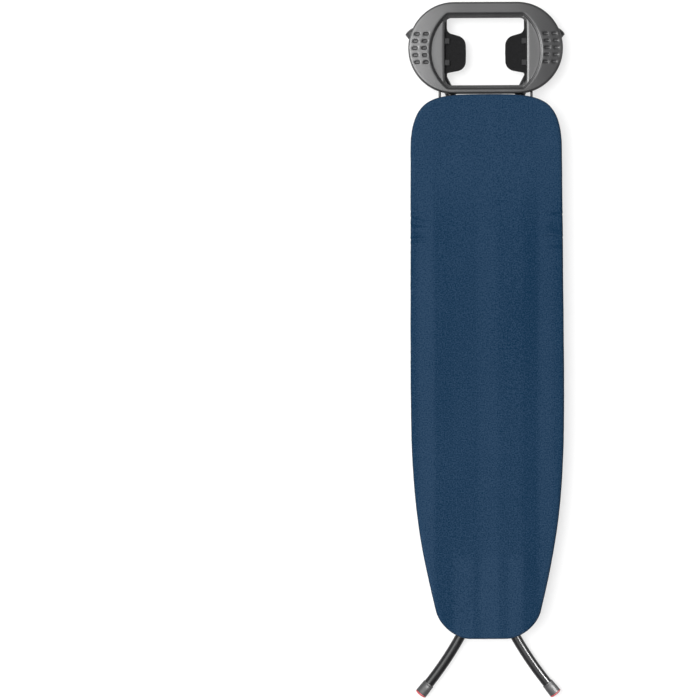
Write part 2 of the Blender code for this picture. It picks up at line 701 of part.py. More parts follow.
def make_latch_hangers():
    """Plates under the cross members that the lever rod turns in, and the spring that lifts the channel."""
    top = MEMBER_LOW - GAP
    outline = rounded([
        (0.0138, top, 0), (0.0138, LATCH_Z - 0.0060, 0.0050), (0.0253, LATCH_Z - 0.0060, 0.0050),
        (0.0253, top, 0),
    ])
    hole = circle(LEVER_RADIUS + RUNNING, 14, (LATCH_X, LATCH_Z))
    for place in ("nose", "middle"):
        y = MEMBERS["cross_member_" + place]
        bm = extruded("Y", y - HANGER_THICK / 2, y + HANGER_THICK / 2, outline, [hole])
        add_piece("latch_hanger_" + place, bm, "board", BLACK_PAINT)
    coil, wire, turns, steps = 0.0042, 0.0006, 6, 12
    start_y = MEMBERS["cross_member_nose"] + HANGER_THICK / 2 + 0.001
    path = []
    for i in range(turns * steps + 1):
        angle = 2 * math.pi * i / steps
        y = start_y + 0.016 * i / (turns * steps)
        path.append(Vector((LATCH_X + coil * math.cos(angle), y, LATCH_Z + coil * math.sin(angle))))
    add_piece("latch_spring", swept(path, wire, sides=6), "board", ZINC)


def quarter_loop(middle_y, depth_half, straight, corner):
    """A closed loop mirrored from one quarter: a straight run, then the corner's points."""
    quarter = [(0.0, depth_half), (straight / 2, depth_half), (straight, depth_half)] + corner
    half = quarter + [(x, -y) for x, y in quarter[-2::-1]]
    whole = half + [(-x, y) for x, y in half[-2:0:-1]]
    return [(x, middle_y + y) for x, y in whole]


def arc(centre_x, centre_y, radius, from_angle, to_angle, steps):
    """Points on an arc after its first one."""
    points = []
    for step in range(1, steps + 1):
        angle = from_angle + (to_angle - from_angle) * step / steps
        points.append((centre_x + radius * math.cos(angle), centre_y + radius * math.sin(angle)))
    return points


def rest_outline(grow):
    """The iron rest's outer outline, a stadium."""
    radius = REST_DEPTH / 2 + grow
    straight = REST_LENGTH / 2 - REST_DEPTH / 2
    return quarter_loop(REST_MIDDLE_Y, radius, straight, arc(straight, 0, radius, math.pi / 2, 0, 9))


def window_outline(grow):
    """The opening in the rest's top face: straight along the board, a wide arc at each end."""
    half = WINDOW_DEPTH / 2 + grow
    radius = WINDOW_ARC + grow
    centre = WINDOW_REACH - WINDOW_ARC
    first = math.asin(half / radius)
    straight = centre + radius * math.cos(first)
    return quarter_loop(WINDOW_MIDDLE_Y, half, straight, arc(centre, 0, radius, first, 0, 9))


def well_outline(grow):
    """The opening right through the rest, inside the recessed shelves and the ledges."""
    half = WINDOW_DEPTH / 2 - WELL_LEDGE + grow
    reach = WELL_REACH + grow
    radius = WELL_CORNER
    corner = arc(reach - radius, half - radius, radius, math.pi / 2, 0, 5)
    side = [(reach, (half - radius) * (1 - step / 4)) for step in range(1, 5)]
    return quarter_loop(WINDOW_MIDDLE_Y, half, reach - radius, corner + side)


def level(outline, z):
    return [Vector((x, y, z)) for x, y in outline]


def well_edge(grow, z):
    """The well's outline at a height, lowered where the ledges slope down to it."""
    straight = WINDOW_DEPTH / 2 - WELL_LEDGE - WELL_CORNER
    loop = []
    for x, y in well_outline(grow):
        share = max(0.0, abs(y - WINDOW_MIDDLE_Y) - straight) / WELL_CORNER
        loop.append(Vector((x, y, z - LEDGE_DROP * min(1.0, share) ** 2)))
    return loop


def dome(bm):
    """Lowers a shape's upper parts away from the middle, as the rest's top is domed."""
    for vertex in bm.verts:
        out = max(0.0, abs(vertex.co.x) - DOME_FLAT) / (REST_LENGTH / 2 - DOME_FLAT)
        up = (vertex.co.z - REST_LOW) / (REST_TOP - REST_LOW)
        vertex.co.z -= DOME_DROP * out**2 * up


def pill(size, x, y, z):
    """A slot's outline round a place."""
    length, width = size
    radius = width / 2
    loop = []
    for end, first in ((1, -math.pi / 2), (-1, math.pi / 2)):
        for step in range(5):
            angle = first + math.pi * step / 4
            along = end * (length / 2 - radius) + radius * math.cos(angle)
            loop.append(Vector((x + along, y + radius * math.sin(angle), z)))
    return loop


def dimple_places():
    for x_middle, pull in DIMPLE_COLUMNS:
        for row in range(DIMPLE_ROWS):
            step = row - (DIMPLE_ROWS - 1) / 2
            x = x_middle - pull * (2 * step / (DIMPLE_ROWS - 1)) ** 2
            for _, side in sides():
                yield side * x, REST_MIDDLE_Y + step * DIMPLE_PITCH


def make_iron_rest():
    """A domed shell with a window, recessed shelves, blind dimples and four tongues over the wings."""
    wall = REST_WALL
    loops = [
        level(rest_outline(0), REST_LOW), level(rest_outline(0), REST_TOP - 0.0025),
        level(rest_outline(-0.0010), REST_TOP - 0.0008), level(rest_outline(-0.0035), REST_TOP),
        level(window_outline(0.0008), REST_TOP), level(window_outline(0), REST_TOP - 0.0010),
        level(window_outline(0), REST_SHELF), well_edge(0, REST_SHELF), level(well_outline(0), WELL_LOW),
        level(well_outline(wall), WELL_LOW), well_edge(wall, REST_SHELF - wall),
        level(window_outline(wall), REST_SHELF - wall), level(window_outline(wall), REST_TOP - wall),
        level(rest_outline(-wall), REST_TOP - wall), level(rest_outline(-wall), REST_LOW),
    ]
    shell = bmesh.new()
    skin(shell, loops, closed=True)
    dome(shell)
    rest = add_piece("iron_rest", shell, "board", GREY_PLASTIC)

    cups = bmesh.new()
    hollows = bmesh.new()
    floor = REST_TOP - DIMPLE_DEPTH
    above = [2 * rim - low for rim, low in zip(DIMPLE_RIM, DIMPLE_FLOOR)]
    for x, y in dimple_places():
        cup = [pill(DIMPLE_RIM, x, y, z) for z in (floor - DIMPLE_WALL, floor)]
        skin(cups, cup, closed=False)
        hollow = [pill(DIMPLE_FLOOR, x, y, floor), pill(above, x, y, REST_TOP + DIMPLE_DEPTH)]
        skin(hollows, hollow, closed=False)
    dome(cups)
    dome(hollows)
    combine(rest, "dimple_cups", cups, "board", "UNION")
    combine(rest, "dimple_hollows", hollows, "board")

    for side_name, side in sides():
        for number, y in enumerate(TONGUE_PLACES, 1):
            low_x, high_x = sorted(side * x for x in TONGUE_X)
            outline = rectangle(low_x, y - TONGUE_HALF_WIDTH, high_x, y + TONGUE_HALF_WIDTH)
            tongue = extruded("Z", *TONGUE_Z, outline)
            combine(rest, f"tongue_{side_name}_{number}", tongue, "board", "UNION")


def make_rest_supports():
    """The bent wire that carries the iron rest, its clamps and the steel wings that the iron stands on."""
    corners = (
        (-WIRE_X, WIRE_BOARD_END, WIRE_Z), (-WIRE_X, WIRE_FAR_Y, WIRE_Z),
        (WIRE_X, WIRE_FAR_Y, WIRE_Z), (WIRE_X, WIRE_BOARD_END, WIRE_Z),
    )
    add_piece("rest_wire", swept(bent_wire(corners, 0.015), WIRE_RADIUS, sides=10), "board", BLACK_PAINT)
    clamp_y = MEMBERS["cross_member_end"]
    top = MEMBER_LOW - GAP
    for side_name, side in sides():
        wing = [
            (0.0785, 0.7090, 0), (0.0785, 0.6826, 0.012), (0.0405, 0.6715, 0.021), (0.0398, 0.6420, 0.050),
            (0.0405, 0.6070, 0.020), (0.0785, 0.5998, 0.003), (0.0785, 0.5790, 0), (0.0930, 0.5920, 0.010),
            (0.1060, 0.6150, 0.020), (0.1060, 0.6720, 0.020), (0.0930, 0.6960, 0.010),
        ]
        outline = rounded([(side * x, y, radius) for x, y, radius in wing])
        bm = extruded("Z", WING_LOW, WING_LOW + WING_THICK, outline)
        add_piece("rest_wing_" + side_name, bm, "board", BLACK_TEXTURED)
        centre = side * WIRE_X
        low, high = centre - CLAMP_HALF_WIDTH, centre + CLAMP_HALF_WIDTH
        block = rounded([(low, CLAMP_LOW, 0.002), (high, CLAMP_LOW, 0.002), (high, top, 0), (low, top, 0)])
        hole = circle(WIRE_RADIUS + GAP, 12, (centre, WIRE_Z))
        half = MEMBER_WIDTH / 2
        bm = extruded("Y", clamp_y - half, clamp_y + half, block, [hole])
        add_piece("rest_clamp_" + side_name, bm, "board", CAP_PLASTIC)


def main():
    clear_scene()
    add_empties()
    make_cover_and_pad()
    make_board_frame()
    make_rails()
    make_pivot()
    make_latch_hangers()
    make_iron_rest()
    make_rest_supports()
    make_leg(FRONT_LEG, "front_leg")
    for name, y in FRONT_BRACES.items():
        make_brace(name, y, FRONT_X, "front_leg")
    make_centre_bolts()
    make_leg(REAR_LEG, "rear_leg")
    make_brace("rear_leg_brace", REAR_BRACE_Y, REAR_X, "rear_leg")
    make_slider_rod()
    make_latch()


main()
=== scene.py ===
"""The looks of a folding ironing board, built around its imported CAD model.

Metres, +Z up, in the model's own frame. The cloth, felt, mesh, mouldings and tubes are built here with
finer meshes than the CAD solids that they stand for. Small steel parts keep their CAD shape, with their
edges rounded. Every surface has a procedural material.
"""

import math

import bmesh
import bpy
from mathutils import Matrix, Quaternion, Vector, noise


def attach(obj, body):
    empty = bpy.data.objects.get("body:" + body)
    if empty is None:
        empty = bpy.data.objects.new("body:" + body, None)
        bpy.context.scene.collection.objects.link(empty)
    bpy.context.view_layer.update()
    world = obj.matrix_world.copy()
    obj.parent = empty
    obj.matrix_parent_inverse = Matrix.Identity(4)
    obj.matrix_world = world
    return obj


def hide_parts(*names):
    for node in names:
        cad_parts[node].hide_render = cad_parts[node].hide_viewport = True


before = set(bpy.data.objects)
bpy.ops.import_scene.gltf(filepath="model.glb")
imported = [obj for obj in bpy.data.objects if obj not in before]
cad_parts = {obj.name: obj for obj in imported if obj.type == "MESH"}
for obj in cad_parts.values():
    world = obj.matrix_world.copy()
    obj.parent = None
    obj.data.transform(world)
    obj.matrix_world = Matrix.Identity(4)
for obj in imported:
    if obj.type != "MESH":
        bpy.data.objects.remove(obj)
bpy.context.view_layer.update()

# Where the board's own middle lies in the model's frame. Places along the board are measured from it.
MIDDLE_Y = -0.034610
BOARD_LENGTH = 1.107
BOARD_WIDTH = 0.312
COVER_TOP = 0.0525
COVER_LOW = 0.0292
COVER_SHEET = 0.0007
HEM_INSET = 0.0163
HEM_Z = 0.0322
STITCH_INSET = 0.0128
STITCH_Z = 0.0289
MESH_Z = 0.0444
TUBE_RADIUS = 0.0102
TUBE_WALL = 0.0009
FOOT_RADIUS = 0.0125
AXIS_Z = 0.027
CENTRE_Y = 0.0103
PIVOT_Y = 0.4403
SLIDER_Y = -0.4197

# Board: half outline as knots (x, y, heading in degrees from +X, handle before, handle after)
HALF_OUTLINE = (
    (0.0000, 0.5555, 0.0, 0.000, 0.050),
    (0.0980, 0.5485, -16.0, 0.025, 0.034),
    (0.1540, 0.4410, -90.0, 0.075, 0.100),
    (0.1560, -0.0450, -90.0, 0.150, 0.223),
    (0.1065, -0.4960, -103.5, 0.146, 0.030),
    (0.0360, -0.5520, -180.0, 0.030, 0.012),
    (0.0000, -0.5520, -180.0, 0.012, 0.000),
)

# A leg: tube's x, way along Y, pivot's y, end of its straight run, and bends as (radius, degrees)
FRONT_LEG = ("front", 0.036, -1, PIVOT_Y, -0.4719, ((0.1592, 29.4), (0.708, 9.1)))
REAR_LEG = ("rear", 0.059, 1, SLIDER_Y, 0.5084, ((0.1040, 23.6), (0.544, 13.9)))
TUBE_OVERHANG = 0.012
FOOT_STRAIGHT = 0.0330
SOLE_THICK = 0.0045
CAP_LENGTH = 0.0255

# Iron rest
REST_MIDDLE_Y = 0.6502
REST_LENGTH = 0.315
REST_DEPTH = 0.1864
REST_LOW = 0.029
REST_TOP = 0.046
REST_WALL = 0.0022
REST_SHELF = 0.0385
DOME_FLAT = 0.050
DOME_DROP = 0.007
WINDOW_MIDDLE_Y = 0.6433
WINDOW_DEPTH = 0.1515
WINDOW_ARC = 0.098
WINDOW_REACH = 0.113
WELL_LEDGE = 0.005
WELL_REACH = 0.084
WELL_CORNER = 0.012
WELL_LOW = 0.031
WELL_DRAFT = 0.0024
LEDGE_DROP = 0.0040
DIMPLE_ROWS = 5
DIMPLE_PITCH = 0.01435
DIMPLE_COLUMNS = ((0.1440, 0.0045), (0.1250, 0.0035))
DIMPLE_FLOOR = (0.0084, 0.0034)
DIMPLE_GROW = 0.0024
DIMPLE_DEPTH = 0.0020
DIMPLE_WALL = 0.0014
WING_Z = (0.0289, 0.0304)
TONGUE_X = (0.0735, 0.0855)
TONGUE_Z = (0.0307, 0.0345)
TONGUE_HALF_WIDTH = 0.0057
TONGUE_PLACES = (("upper", 0.665), ("lower", 0.621))

SIDES = (("left", -1), ("right", 1))


# ---------------------------------------------------------------- materials

def add_node(tree, kind, inputs=(), **settings):
    """A shader node. Its inputs are values or other nodes' outputs."""
    made = tree.nodes.new("ShaderNode" + kind)
    for name, value in settings.items():
        setattr(made, name, value)
    for socket, value in dict(inputs).items():
        if isinstance(value, bpy.types.NodeSocket):
            tree.links.new(value, made.inputs[socket])
        else:
            made.inputs[socket].default_value = value
    return made


class Look:
    """One procedural material on a Principled shader."""

    def __init__(self, name, colour, roughness, metallic=0.0, **sockets):
        self.material = bpy.data.materials.new(name)
        self.material.use_nodes = True
        self.tree = self.material.node_tree
        self.shader = self.tree.nodes["Principled BSDF"]
        self.shader.inputs["Base Color"].default_value = (*colour, 1)
        self.shader.inputs["Roughness"].default_value = roughness
        self.shader.inputs["Metallic"].default_value = metallic
        for socket, value in sockets.items():
            self.shader.inputs[socket.replace("_", " ")].default_value = value
        self.place = self.tree.nodes.new("ShaderNodeTexCoord").outputs["Object"]

    def node(self, kind, inputs=(), **settings):
        return add_node(self.tree, kind, inputs, **settings)

    def noise(self, scale, detail=2.0, roughness=0.5, stretch=(1, 1, 1)):
        """Noise over the object's coordinates, which are first scaled by a factor for each axis."""
        place = self.node("Mapping", {"Vector": self.place, "Scale": stretch}).outputs["Vector"]
        inputs = {"Vector": place, "Scale": scale, "Detail": detail, "Roughness": roughness}
        return self.node("TexNoise", inputs).outputs["Fac"]

    def maths(self, operation, first, second=0.0, third=0.0):
        return self.node("Math", {0: first, 1: second, 2: third}, operation=operation).outputs[0]

    def times(self, first, second):
        return self.maths("MULTIPLY", first, second)

    def scaled(self, value, factor, start):
        """The value times the factor, added to the start."""
        return self.maths("MULTIPLY_ADD", value, factor, start)

    def ramp(self, factor, stops):
        """A grey ramp with stops (position, value)."""
        made = self.node("ValToRGB", {"Fac": factor})
        elements = made.color_ramp.elements
        while len(elements) < len(stops):
            elements.new(0.5)
        for element, (position, value) in zip(elements, stops):
            element.position = position
            element.color = (value, value, value, 1)
        return made.outputs["Color"]

    def span(self, value, low, high, low_result, high_result):
        """A smooth step from one result to another over a range of a value."""
        made = self.node("MapRange", {
            "Value": value, "From Min": low, "From Max": high, "To Min": low_result, "To Max": high_result,
        }, interpolation_type="SMOOTHSTEP")
        return made.outputs[0]

    def tint(self, factor, low, high):
        """A mix from low to high by a factor. Each is a colour or another node's output."""
        low, high = (end if isinstance(end, bpy.types.NodeSocket) else (*end, 1) for end in (low, high))
        return self.node("Mix", {0: factor, 6: low, 7: high}, data_type="RGBA").outputs[2]

    def colour(self, socket):
        self.tree.links.new(socket, self.shader.inputs["Base Color"])

    def roughness(self, factor, low, high):
        spread = self.node("MapRange", {"Value": factor, "To Min": low, "To Max": high})
        self.tree.links.new(spread.outputs[0], self.shader.inputs["Roughness"])

    def bump(self, height, distance, strength=1.0, below=None):
        inputs = {"Height": height, "Distance": distance, "Strength": strength}
        if below:
            inputs["Normal"] = below
        made = self.node("Bump", inputs)
        self.tree.links.new(made.outputs["Normal"], self.shader.inputs["Normal"])
        return made.outputs["Normal"]

    def finish(self, factor, low, high, height, distance, strength):
        """The material, coloured from low to high by a factor and with a bump by a height."""
        self.colour(self.tint(factor, low, high))
        self.bump(height, distance, strength)
        return self.material


def cover_look():
    """Blue cotton: fine threads both ways, soft bands of painted light and shade along the board, a faint
    print of the mesh below and painted shade down the rim.
    """
    dark, light = (0.0034, 0.0202, 0.0476), (0.0210, 0.0465, 0.0872)
    look = Look("cover_cotton", (0.0120, 0.0330, 0.0670), 0.92, Sheen_Weight=0.02, Sheen_Roughness=0.5,
                Specular_IOR_Level=0.01)
    warp = look.noise(850, 2, 0.6, (1.0, 0.06, 1.0))
    weft = look.noise(850, 2, 0.6, (0.06, 1.0, 1.0))
    threads = look.maths("ADD", look.times(warp, 0.5), look.times(weft, 0.5))
    split = look.node("SeparateXYZ", {"Vector": look.place})
    wobble = look.scaled(look.noise(9, 2, 0.5, (1, 0.25, 1)), 0.012, 0.150)
    share = look.maths("DIVIDE", look.maths("ADD", split.outputs["X"], wobble), BOARD_WIDTH)
    # Painted light and shade: soft lighter and darker bands across the width of the board.
    bands = look.ramp(share, (
        (0.0, 0.15), (0.03, 0.45), (0.06, 1.0), (0.135, 0.95), (0.165, 0.32), (0.25, 0.30), (0.28, 0.40),
        (0.42, 0.42), (0.455, 0.66), (0.545, 0.64), (0.585, 0.34), (0.715, 0.30), (0.745, 0.05),
        (0.815, 0.03), (0.85, 0.66), (0.915, 0.64), (0.95, 0.25), (1.0, 0.05),
    ))
    blocks = look.ramp(share, (
        (0.0, 0.0), (0.26, 0.0), (0.29, 1.0), (0.39, 1.0), (0.41, 0.0), (0.43, 0.0), (0.46, 0.6), (0.55, 0.6),
        (0.58, 0.0), (0.62, 0.0), (0.65, 1.0), (0.71, 1.0), (0.74, 0.0),
    ))
    # Painted light: a lighter square end and lighter blocks near the nose.
    square_end = look.span(split.outputs["Y"], 0.23, 0.38, 0.0, 0.8)
    nose = look.span(split.outputs["Y"], -0.430, -0.405, 0.45, 0.0)
    mix = look.scaled(look.maths("SUBTRACT", 0.85, bands), square_end, bands)
    mix = look.scaled(blocks, nose, mix)
    mix = look.scaled(mix, 0.5, 0.25)
    mesh_print = look.times(mesh_pattern(look, split), look.ramp(
        look.noise(14, 2, 0.5, (1, 0.5, 1)), ((0.42, 0.0), (0.62, 1.0))))
    grain, patches = look.noise(380, 2, 0.6), look.noise(5, 3, 0.55, (1.6, 0.7, 1))
    for pattern, strength in ((threads, 1.1), (grain, 3.3), (patches, 0.35)):
        mix = look.scaled(look.maths("SUBTRACT", pattern, 0.5), strength, mix)
    mix = look.scaled(mesh_print, 0.05, mix)
    # Painted shade: dark lines in the creases near the long edges.
    mix = look.scaled(crease_shade_lines(look, split), -0.45, mix)
    # Painted shade: the colour darkens to near black down the rim, below the cover's top.
    rim = look.span(split.outputs["Z"], 0.0440, 0.0518, 0.0, 1.0)
    look.colour(look.tint(rim, (0.0040, 0.0120, 0.0240), look.tint(mix, dark, light)))
    first = look.bump(threads, 0.00035, 0.8)
    look.bump(mesh_print, 0.00025, 0.5, first)
    return look.material


def crease_shade_lines(look, split):
    """Thin dark lines across the long edges: painted shade in the creases where the cloth was folded in its
    packing.
    """
    near_edge = look.span(look.maths("ABSOLUTE", split.outputs["X"]), 0.112, 0.138, 0.0, 1.0)
    first = look.span(split.outputs["Y"], 0.200, 0.215, 0.0, 1.0)
    last = look.span(split.outputs["Y"], 0.280, 0.300, 1.0, 0.0)
    lines = look.ramp(look.noise(75, 1, 0.5, (0.14, 1, 1)), ((0.42, 0.0), (0.48, 1.0), (0.54, 0.0)))
    return look.times(look.times(first, last), look.times(near_edge, lines))


def mesh_pattern(look, split):
    """Diamonds of the expanded mesh, as two crossing sets of waves."""
    waves = []
    for slope in (1.0, -1.0):
        run = look.scaled(split.outputs["X"], slope * math.tau / 0.010,
                         look.times(split.outputs["Y"], math.tau / 0.020))
        waves.append(look.maths("ABSOLUTE", look.maths("SINE", look.times(run, 0.5))))
    return look.maths("SUBTRACT", 1.0, look.maths("MINIMUM", *waves))


def felt_look():
    look = Look("pad_felt", (0.30, 0.30, 0.29), 0.95, Sheen_Weight=0.3)
    fibres = look.noise(300, 5, 0.75)
    specks = look.ramp(look.noise(120, 3, 0.8), ((0.35, 0.0), (0.68, 1.0)))
    return look.finish(specks, (0.20, 0.20, 0.20), (0.40, 0.39, 0.37), fibres, 0.0006, 0.8)


def elastic_look():
    look = Look("hem_braid", (0.010, 0.014, 0.022), 0.85, Sheen_Weight=0.2)
    braid = look.node("TexWave", {"Vector": look.place, "Scale": 320.0, "Distortion": 1.0},
                      wave_type="BANDS", bands_direction="DIAGONAL").outputs["Fac"]
    return look.finish(braid, (0.006, 0.009, 0.014), (0.020, 0.026, 0.038), braid, 0.0003, 0.8)


def stitch_look():
    look = Look("hem_thread", (0.020, 0.045, 0.085), 0.80, Sheen_Weight=0.3)
    twist = look.noise(1500, 2, 0.5)
    return look.finish(twist, (0.016, 0.040, 0.075), (0.034, 0.075, 0.130), twist, 0.0002, 0.6)


def paint_look():
    """Gloss powder coat: a slight orange peel, fine scuffs and rubbed corners."""
    colour = (0.012, 0.012, 0.013)
    look = Look("black_paint", colour, 0.26, Specular_IOR_Level=0.22)
    peel = look.noise(260, 2)
    scuffs = look.noise(90, 4, 0.7, (1, 0.05, 1))
    worn = look.node("NewGeometry").outputs["Pointiness"]
    rubbed = look.ramp(worn, ((0.54, 0.0), (0.62, 1.0)))
    base = look.tint(look.ramp(scuffs, ((0.5, 0.0), (0.8, 1.0))), colour, tuple(1.9 * c for c in colour))
    look.roughness(scuffs, 0.20, 0.30)
    return look.finish(look.times(rubbed, 0.5), base, (0.10, 0.10, 0.10), peel, 0.00008, 0.5)


def wrinkle_look():
    """The wings' rough black coat."""
    look = Look("black_wrinkle_coat", (0.009, 0.009, 0.010), 0.75, Specular_IOR_Level=0.08)
    voronoi = look.node("TexVoronoi", {"Vector": look.place, "Scale": 900.0}, feature="SMOOTH_F1")
    cells, blotch = voronoi.outputs["Distance"], look.noise(160, 3, 0.7)
    look.roughness(blotch, 0.65, 0.85)
    return look.finish(blotch, (0.004, 0.004, 0.004), (0.015, 0.015, 0.016), cells, 0.0004, 0.9)


def moulded_look(name, colour, roughness, grain=0.00012, spread=0.22, gloss=0.5, walls=False):
    """Moulded plastic with a fine spark-eroded grain and a little wear."""
    look = Look(name, colour, roughness, Specular_IOR_Level=gloss)
    fine = look.noise(1300, 2, 0.6)
    cloudy = look.noise(28, 4, 0.6)
    both = look.scaled(fine, 0.5, look.times(cloudy, 0.5))
    low = tuple((1 - spread) * c for c in colour)
    high = tuple((1 + spread) * c for c in colour)
    tint = look.tint(both, low, high)
    # With walls set, the iron rest's painted light and shade goes into the colour.
    look.colour(rest_painted_light_and_shade(look, tint, gloss) if walls else tint)
    look.roughness(cloudy, roughness - 0.06, roughness + 0.06)
    look.bump(fine, grain, 0.7)
    return look.material


def rest_painted_light_and_shade(look, tint, gloss):
    """Painted light and shade on the iron rest: its steep walls dulled and painted near black as shade, and
    its shelves and dimple floors painted a little paler as light.
    """
    normal = look.node("SeparateXYZ", {0: look.node("NewGeometry").outputs["True Normal"]})
    steep = look.span(look.maths("ABSOLUTE", normal.outputs["Z"]), 0.25, 0.80, 1.0, 0.0)
    height = look.node("SeparateXYZ", {0: look.place}).outputs["Z"]
    low = look.span(height, REST_SHELF + 0.0004, REST_SHELF + 0.0018, 1.0, 0.0)
    # Painted light: the shelves and dimple floors, which lie lower than the top, are a little paler.
    paler = look.tint(low, tint, (0.062, 0.062, 0.063))
    dulled = look.scaled(steep, -0.75 * gloss, gloss)
    look.tree.links.new(dulled, look.shader.inputs["Specular IOR Level"])
    # Painted shade: the steep walls are near black.
    return look.tint(steep, paler, (0.005, 0.005, 0.005))


def rubber_look(name, clean, dusty):
    look = Look(name, clean, 0.62, Sheen_Weight=0.1)
    dust = look.noise(110, 4, 0.7)
    look.roughness(dust, 0.52, 0.72)
    patches = look.ramp(dust, ((0.4, 0.0), (0.75, 1.0)))
    return look.finish(patches, clean, dusty, look.noise(700, 2), 0.00015, 0.6)


def zinc_look():
    """Zinc plate: faint blue-grey mottling and brushed lines."""
    look = Look("zinc_plate", (0.62, 0.62, 0.64), 0.32, 1.0)
    mottle = look.noise(70, 4, 0.65)
    lines = look.noise(600, 2, 0.6, (1, 0.04, 1))
    look.roughness(look.scaled(lines, 0.5, look.times(mottle, 0.5)), 0.24, 0.46)
    return look.finish(mottle, (0.48, 0.49, 0.52), (0.70, 0.70, 0.70), lines, 0.00004, 0.5)


LOOKS = {
    "cover_fabric": cover_look(),
    "felt": felt_look(),
    "hem_elastic": elastic_look(),
    "black_paint": paint_look(),
    "textured_steel": wrinkle_look(),
    "rest_plastic": moulded_look("rest_plastic", (0.030, 0.030, 0.031), 0.33, walls=True),
    "dark_plastic": moulded_look("dark_plastic", (0.040, 0.040, 0.042), 0.52, gloss=0.35),
    "nylon": moulded_look("nylon", (0.55, 0.55, 0.52), 0.42, 0.00006, 0.08),
    "red_rubber": rubber_look("red_rubber", (0.52, 0.050, 0.062), (0.42, 0.060, 0.066)),
    "grey_rubber": rubber_look("grey_rubber", (0.030, 0.030, 0.031), (0.055, 0.054, 0.052)),
    "zinc_steel": zinc_look(),
}
THREAD = stitch_look()
# The tongues' plastic: the rest plastic painted darker as shade, and also rougher and less glossy.
DULL_SHADED_PLASTIC = moulded_look("rest_plastic_dull_painted_shade", (0.020, 0.020, 0.021), 0.60, gloss=0.2)


# ---------------------------------------------------------------- mesh tools

def skin(bm, loops, closed):
    """Faces between loops of equally many points, either closed into a ring or capped at both ends."""
    rows = [[bm.verts.new(point) for point in loop] for loop in loops]
    pairs = list(zip(rows, rows[1:]))
    if closed:
        pairs.append((rows[-1], rows[0]))
    elif closed is False:
        bm.faces.new(rows[0])
        bm.faces.new(rows[-1])
    count = len(rows[0])
    for first, second in pairs:
        for i in range(count):
            j = (i + 1) % count
            bm.faces.new((first[i], second[i], second[j], first[j]))
    return rows


def as_object(name, bm):
    """A new object in the scene. It takes the mesh over."""
    bmesh.ops.recalc_face_normals(bm, faces=bm.faces)
    mesh = bpy.data.meshes.new(name)
    bm.to_mesh(mesh)
    bm.free()
    obj = bpy.data.objects.new(name, mesh)
    bpy.context.scene.collection.objects.link(obj)
    return obj


def add_piece(name, bm, body, slot, nodes=(), sharp=35.0, bevel=0.0, material=None):
    """A new piece in the finish of a material slot, which rides on a body and stands for CAD nodes."""
    obj = as_object(name, bm)
    obj.data.materials.append(material or LOOKS[slot])
    obj.data.shade_smooth()
    obj.data.set_sharp_from_angle(angle=math.radians(sharp))
    if bevel:
        rounding = obj.modifiers.new("rounding", "BEVEL")
        rounding.width = bevel
        rounding.segments = 3
        rounding.limit_method = "ANGLE"
        rounding.angle_limit = math.radians(38)
        rounding.harden_normals = True
    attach(obj, body)
    if nodes:
        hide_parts(*nodes)
    return obj


def refine(node, body, slot, bevel=0.0005):
    """A CAD part's own shape with its edges rounded."""
    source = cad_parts[node]
    bm = bmesh.new()
    bm.from_mesh(source.data)
    bmesh.ops.remove_doubles(bm, verts=bm.verts, dist=1e-6)
    bmesh.ops.dissolve_limit(bm, angle_limit=math.radians(1), verts=bm.verts, edges=bm.edges)
    return add_piece(node + "_finished", bm, body, slot, [node], bevel=bevel)


def at(x, y, z):
    """A point given in the board's own measure, in the model's frame."""
    return Vector((x, y + MIDDLE_Y, z))


def level(outline, z):
    return [at(x, y, z) for x, y in outline]


def rounded(corners, steps_per_turn):
    """An outline through corners (x, y, radius), each with a radius rounded by an arc."""
    outline = []
    count = len(corners)
    for i, (x, y, radius) in enumerate(corners):
        corner = Vector((x, y))
        before = (Vector(corners[i - 1][:2]) - corner).normalized()
        after = (Vector(corners[(i + 1) % count][:2]) - corner).normalized()
        if radius == 0:
            outline.append((x, y))
            continue
        half = before.angle(after) / 2
        start = corner + before * (radius / math.tan(half))
        centre = corner + (before + after).normalized() * (radius / math.sin(half))
        sweep = math.pi - 2 * half
        turn = math.copysign(sweep, -before.cross(after))
        steps = max(2, round(steps_per_turn * sweep / math.tau))
        spoke = start - centre
        for step in range(steps + 1):
            cos, sin = math.cos(turn * step / steps), math.sin(turn * step / steps)
            outline.append((centre.x + spoke.x * cos - spoke.y * sin,
                            centre.y + spoke.x * sin + spoke.y * cos))
    return outline


def extruded_up(low, high, outline):
    """A flat outline in the board's own measure, extruded from low to high."""
    bm = bmesh.new()
    skin(bm, [level(outline, z) for z in (low, high)], closed=False)
    return bm


def ring(place, heading, up, radius, sides, hexagonal=False):
    """Points of a circle, or of a hexagon, round a line."""
    across = heading.cross(up).normalized()
    up = across.cross(heading)
    points = []
    for i in range(sides):
        angle = math.tau * i / sides
        reach = radius
        if hexagonal:
            reach *= math.cos(math.pi / 6) / math.cos(angle % (math.pi / 3) - math.pi / 6)
        points.append(place + reach * (math.cos(angle) * across + math.sin(angle) * up))
    return points


def turned(start, heading, profile, closed=False, sides=48, hexagons=()):
    """A round piece about a line: profile lists (distance along the line, radius)."""
    heading = Vector(heading).normalized()
    up = Vector((0, 0, 1))
    loops = []
    for i, (distance, radius) in enumerate(profile):
        place = Vector(start) + heading * distance
        loops.append(ring(place, heading, up, radius, sides, i in hexagons))
    bm = bmesh.new()
    skin(bm, loops, closed)
    return bm


def add_turned(node, suffix, place, heading, profile, body, slot, **shape):
    """A turned piece that stands for a CAD node and is named after it."""
    add_piece(f"{node}_{suffix}", turned(place, heading, profile, **shape), body, slot, [node])


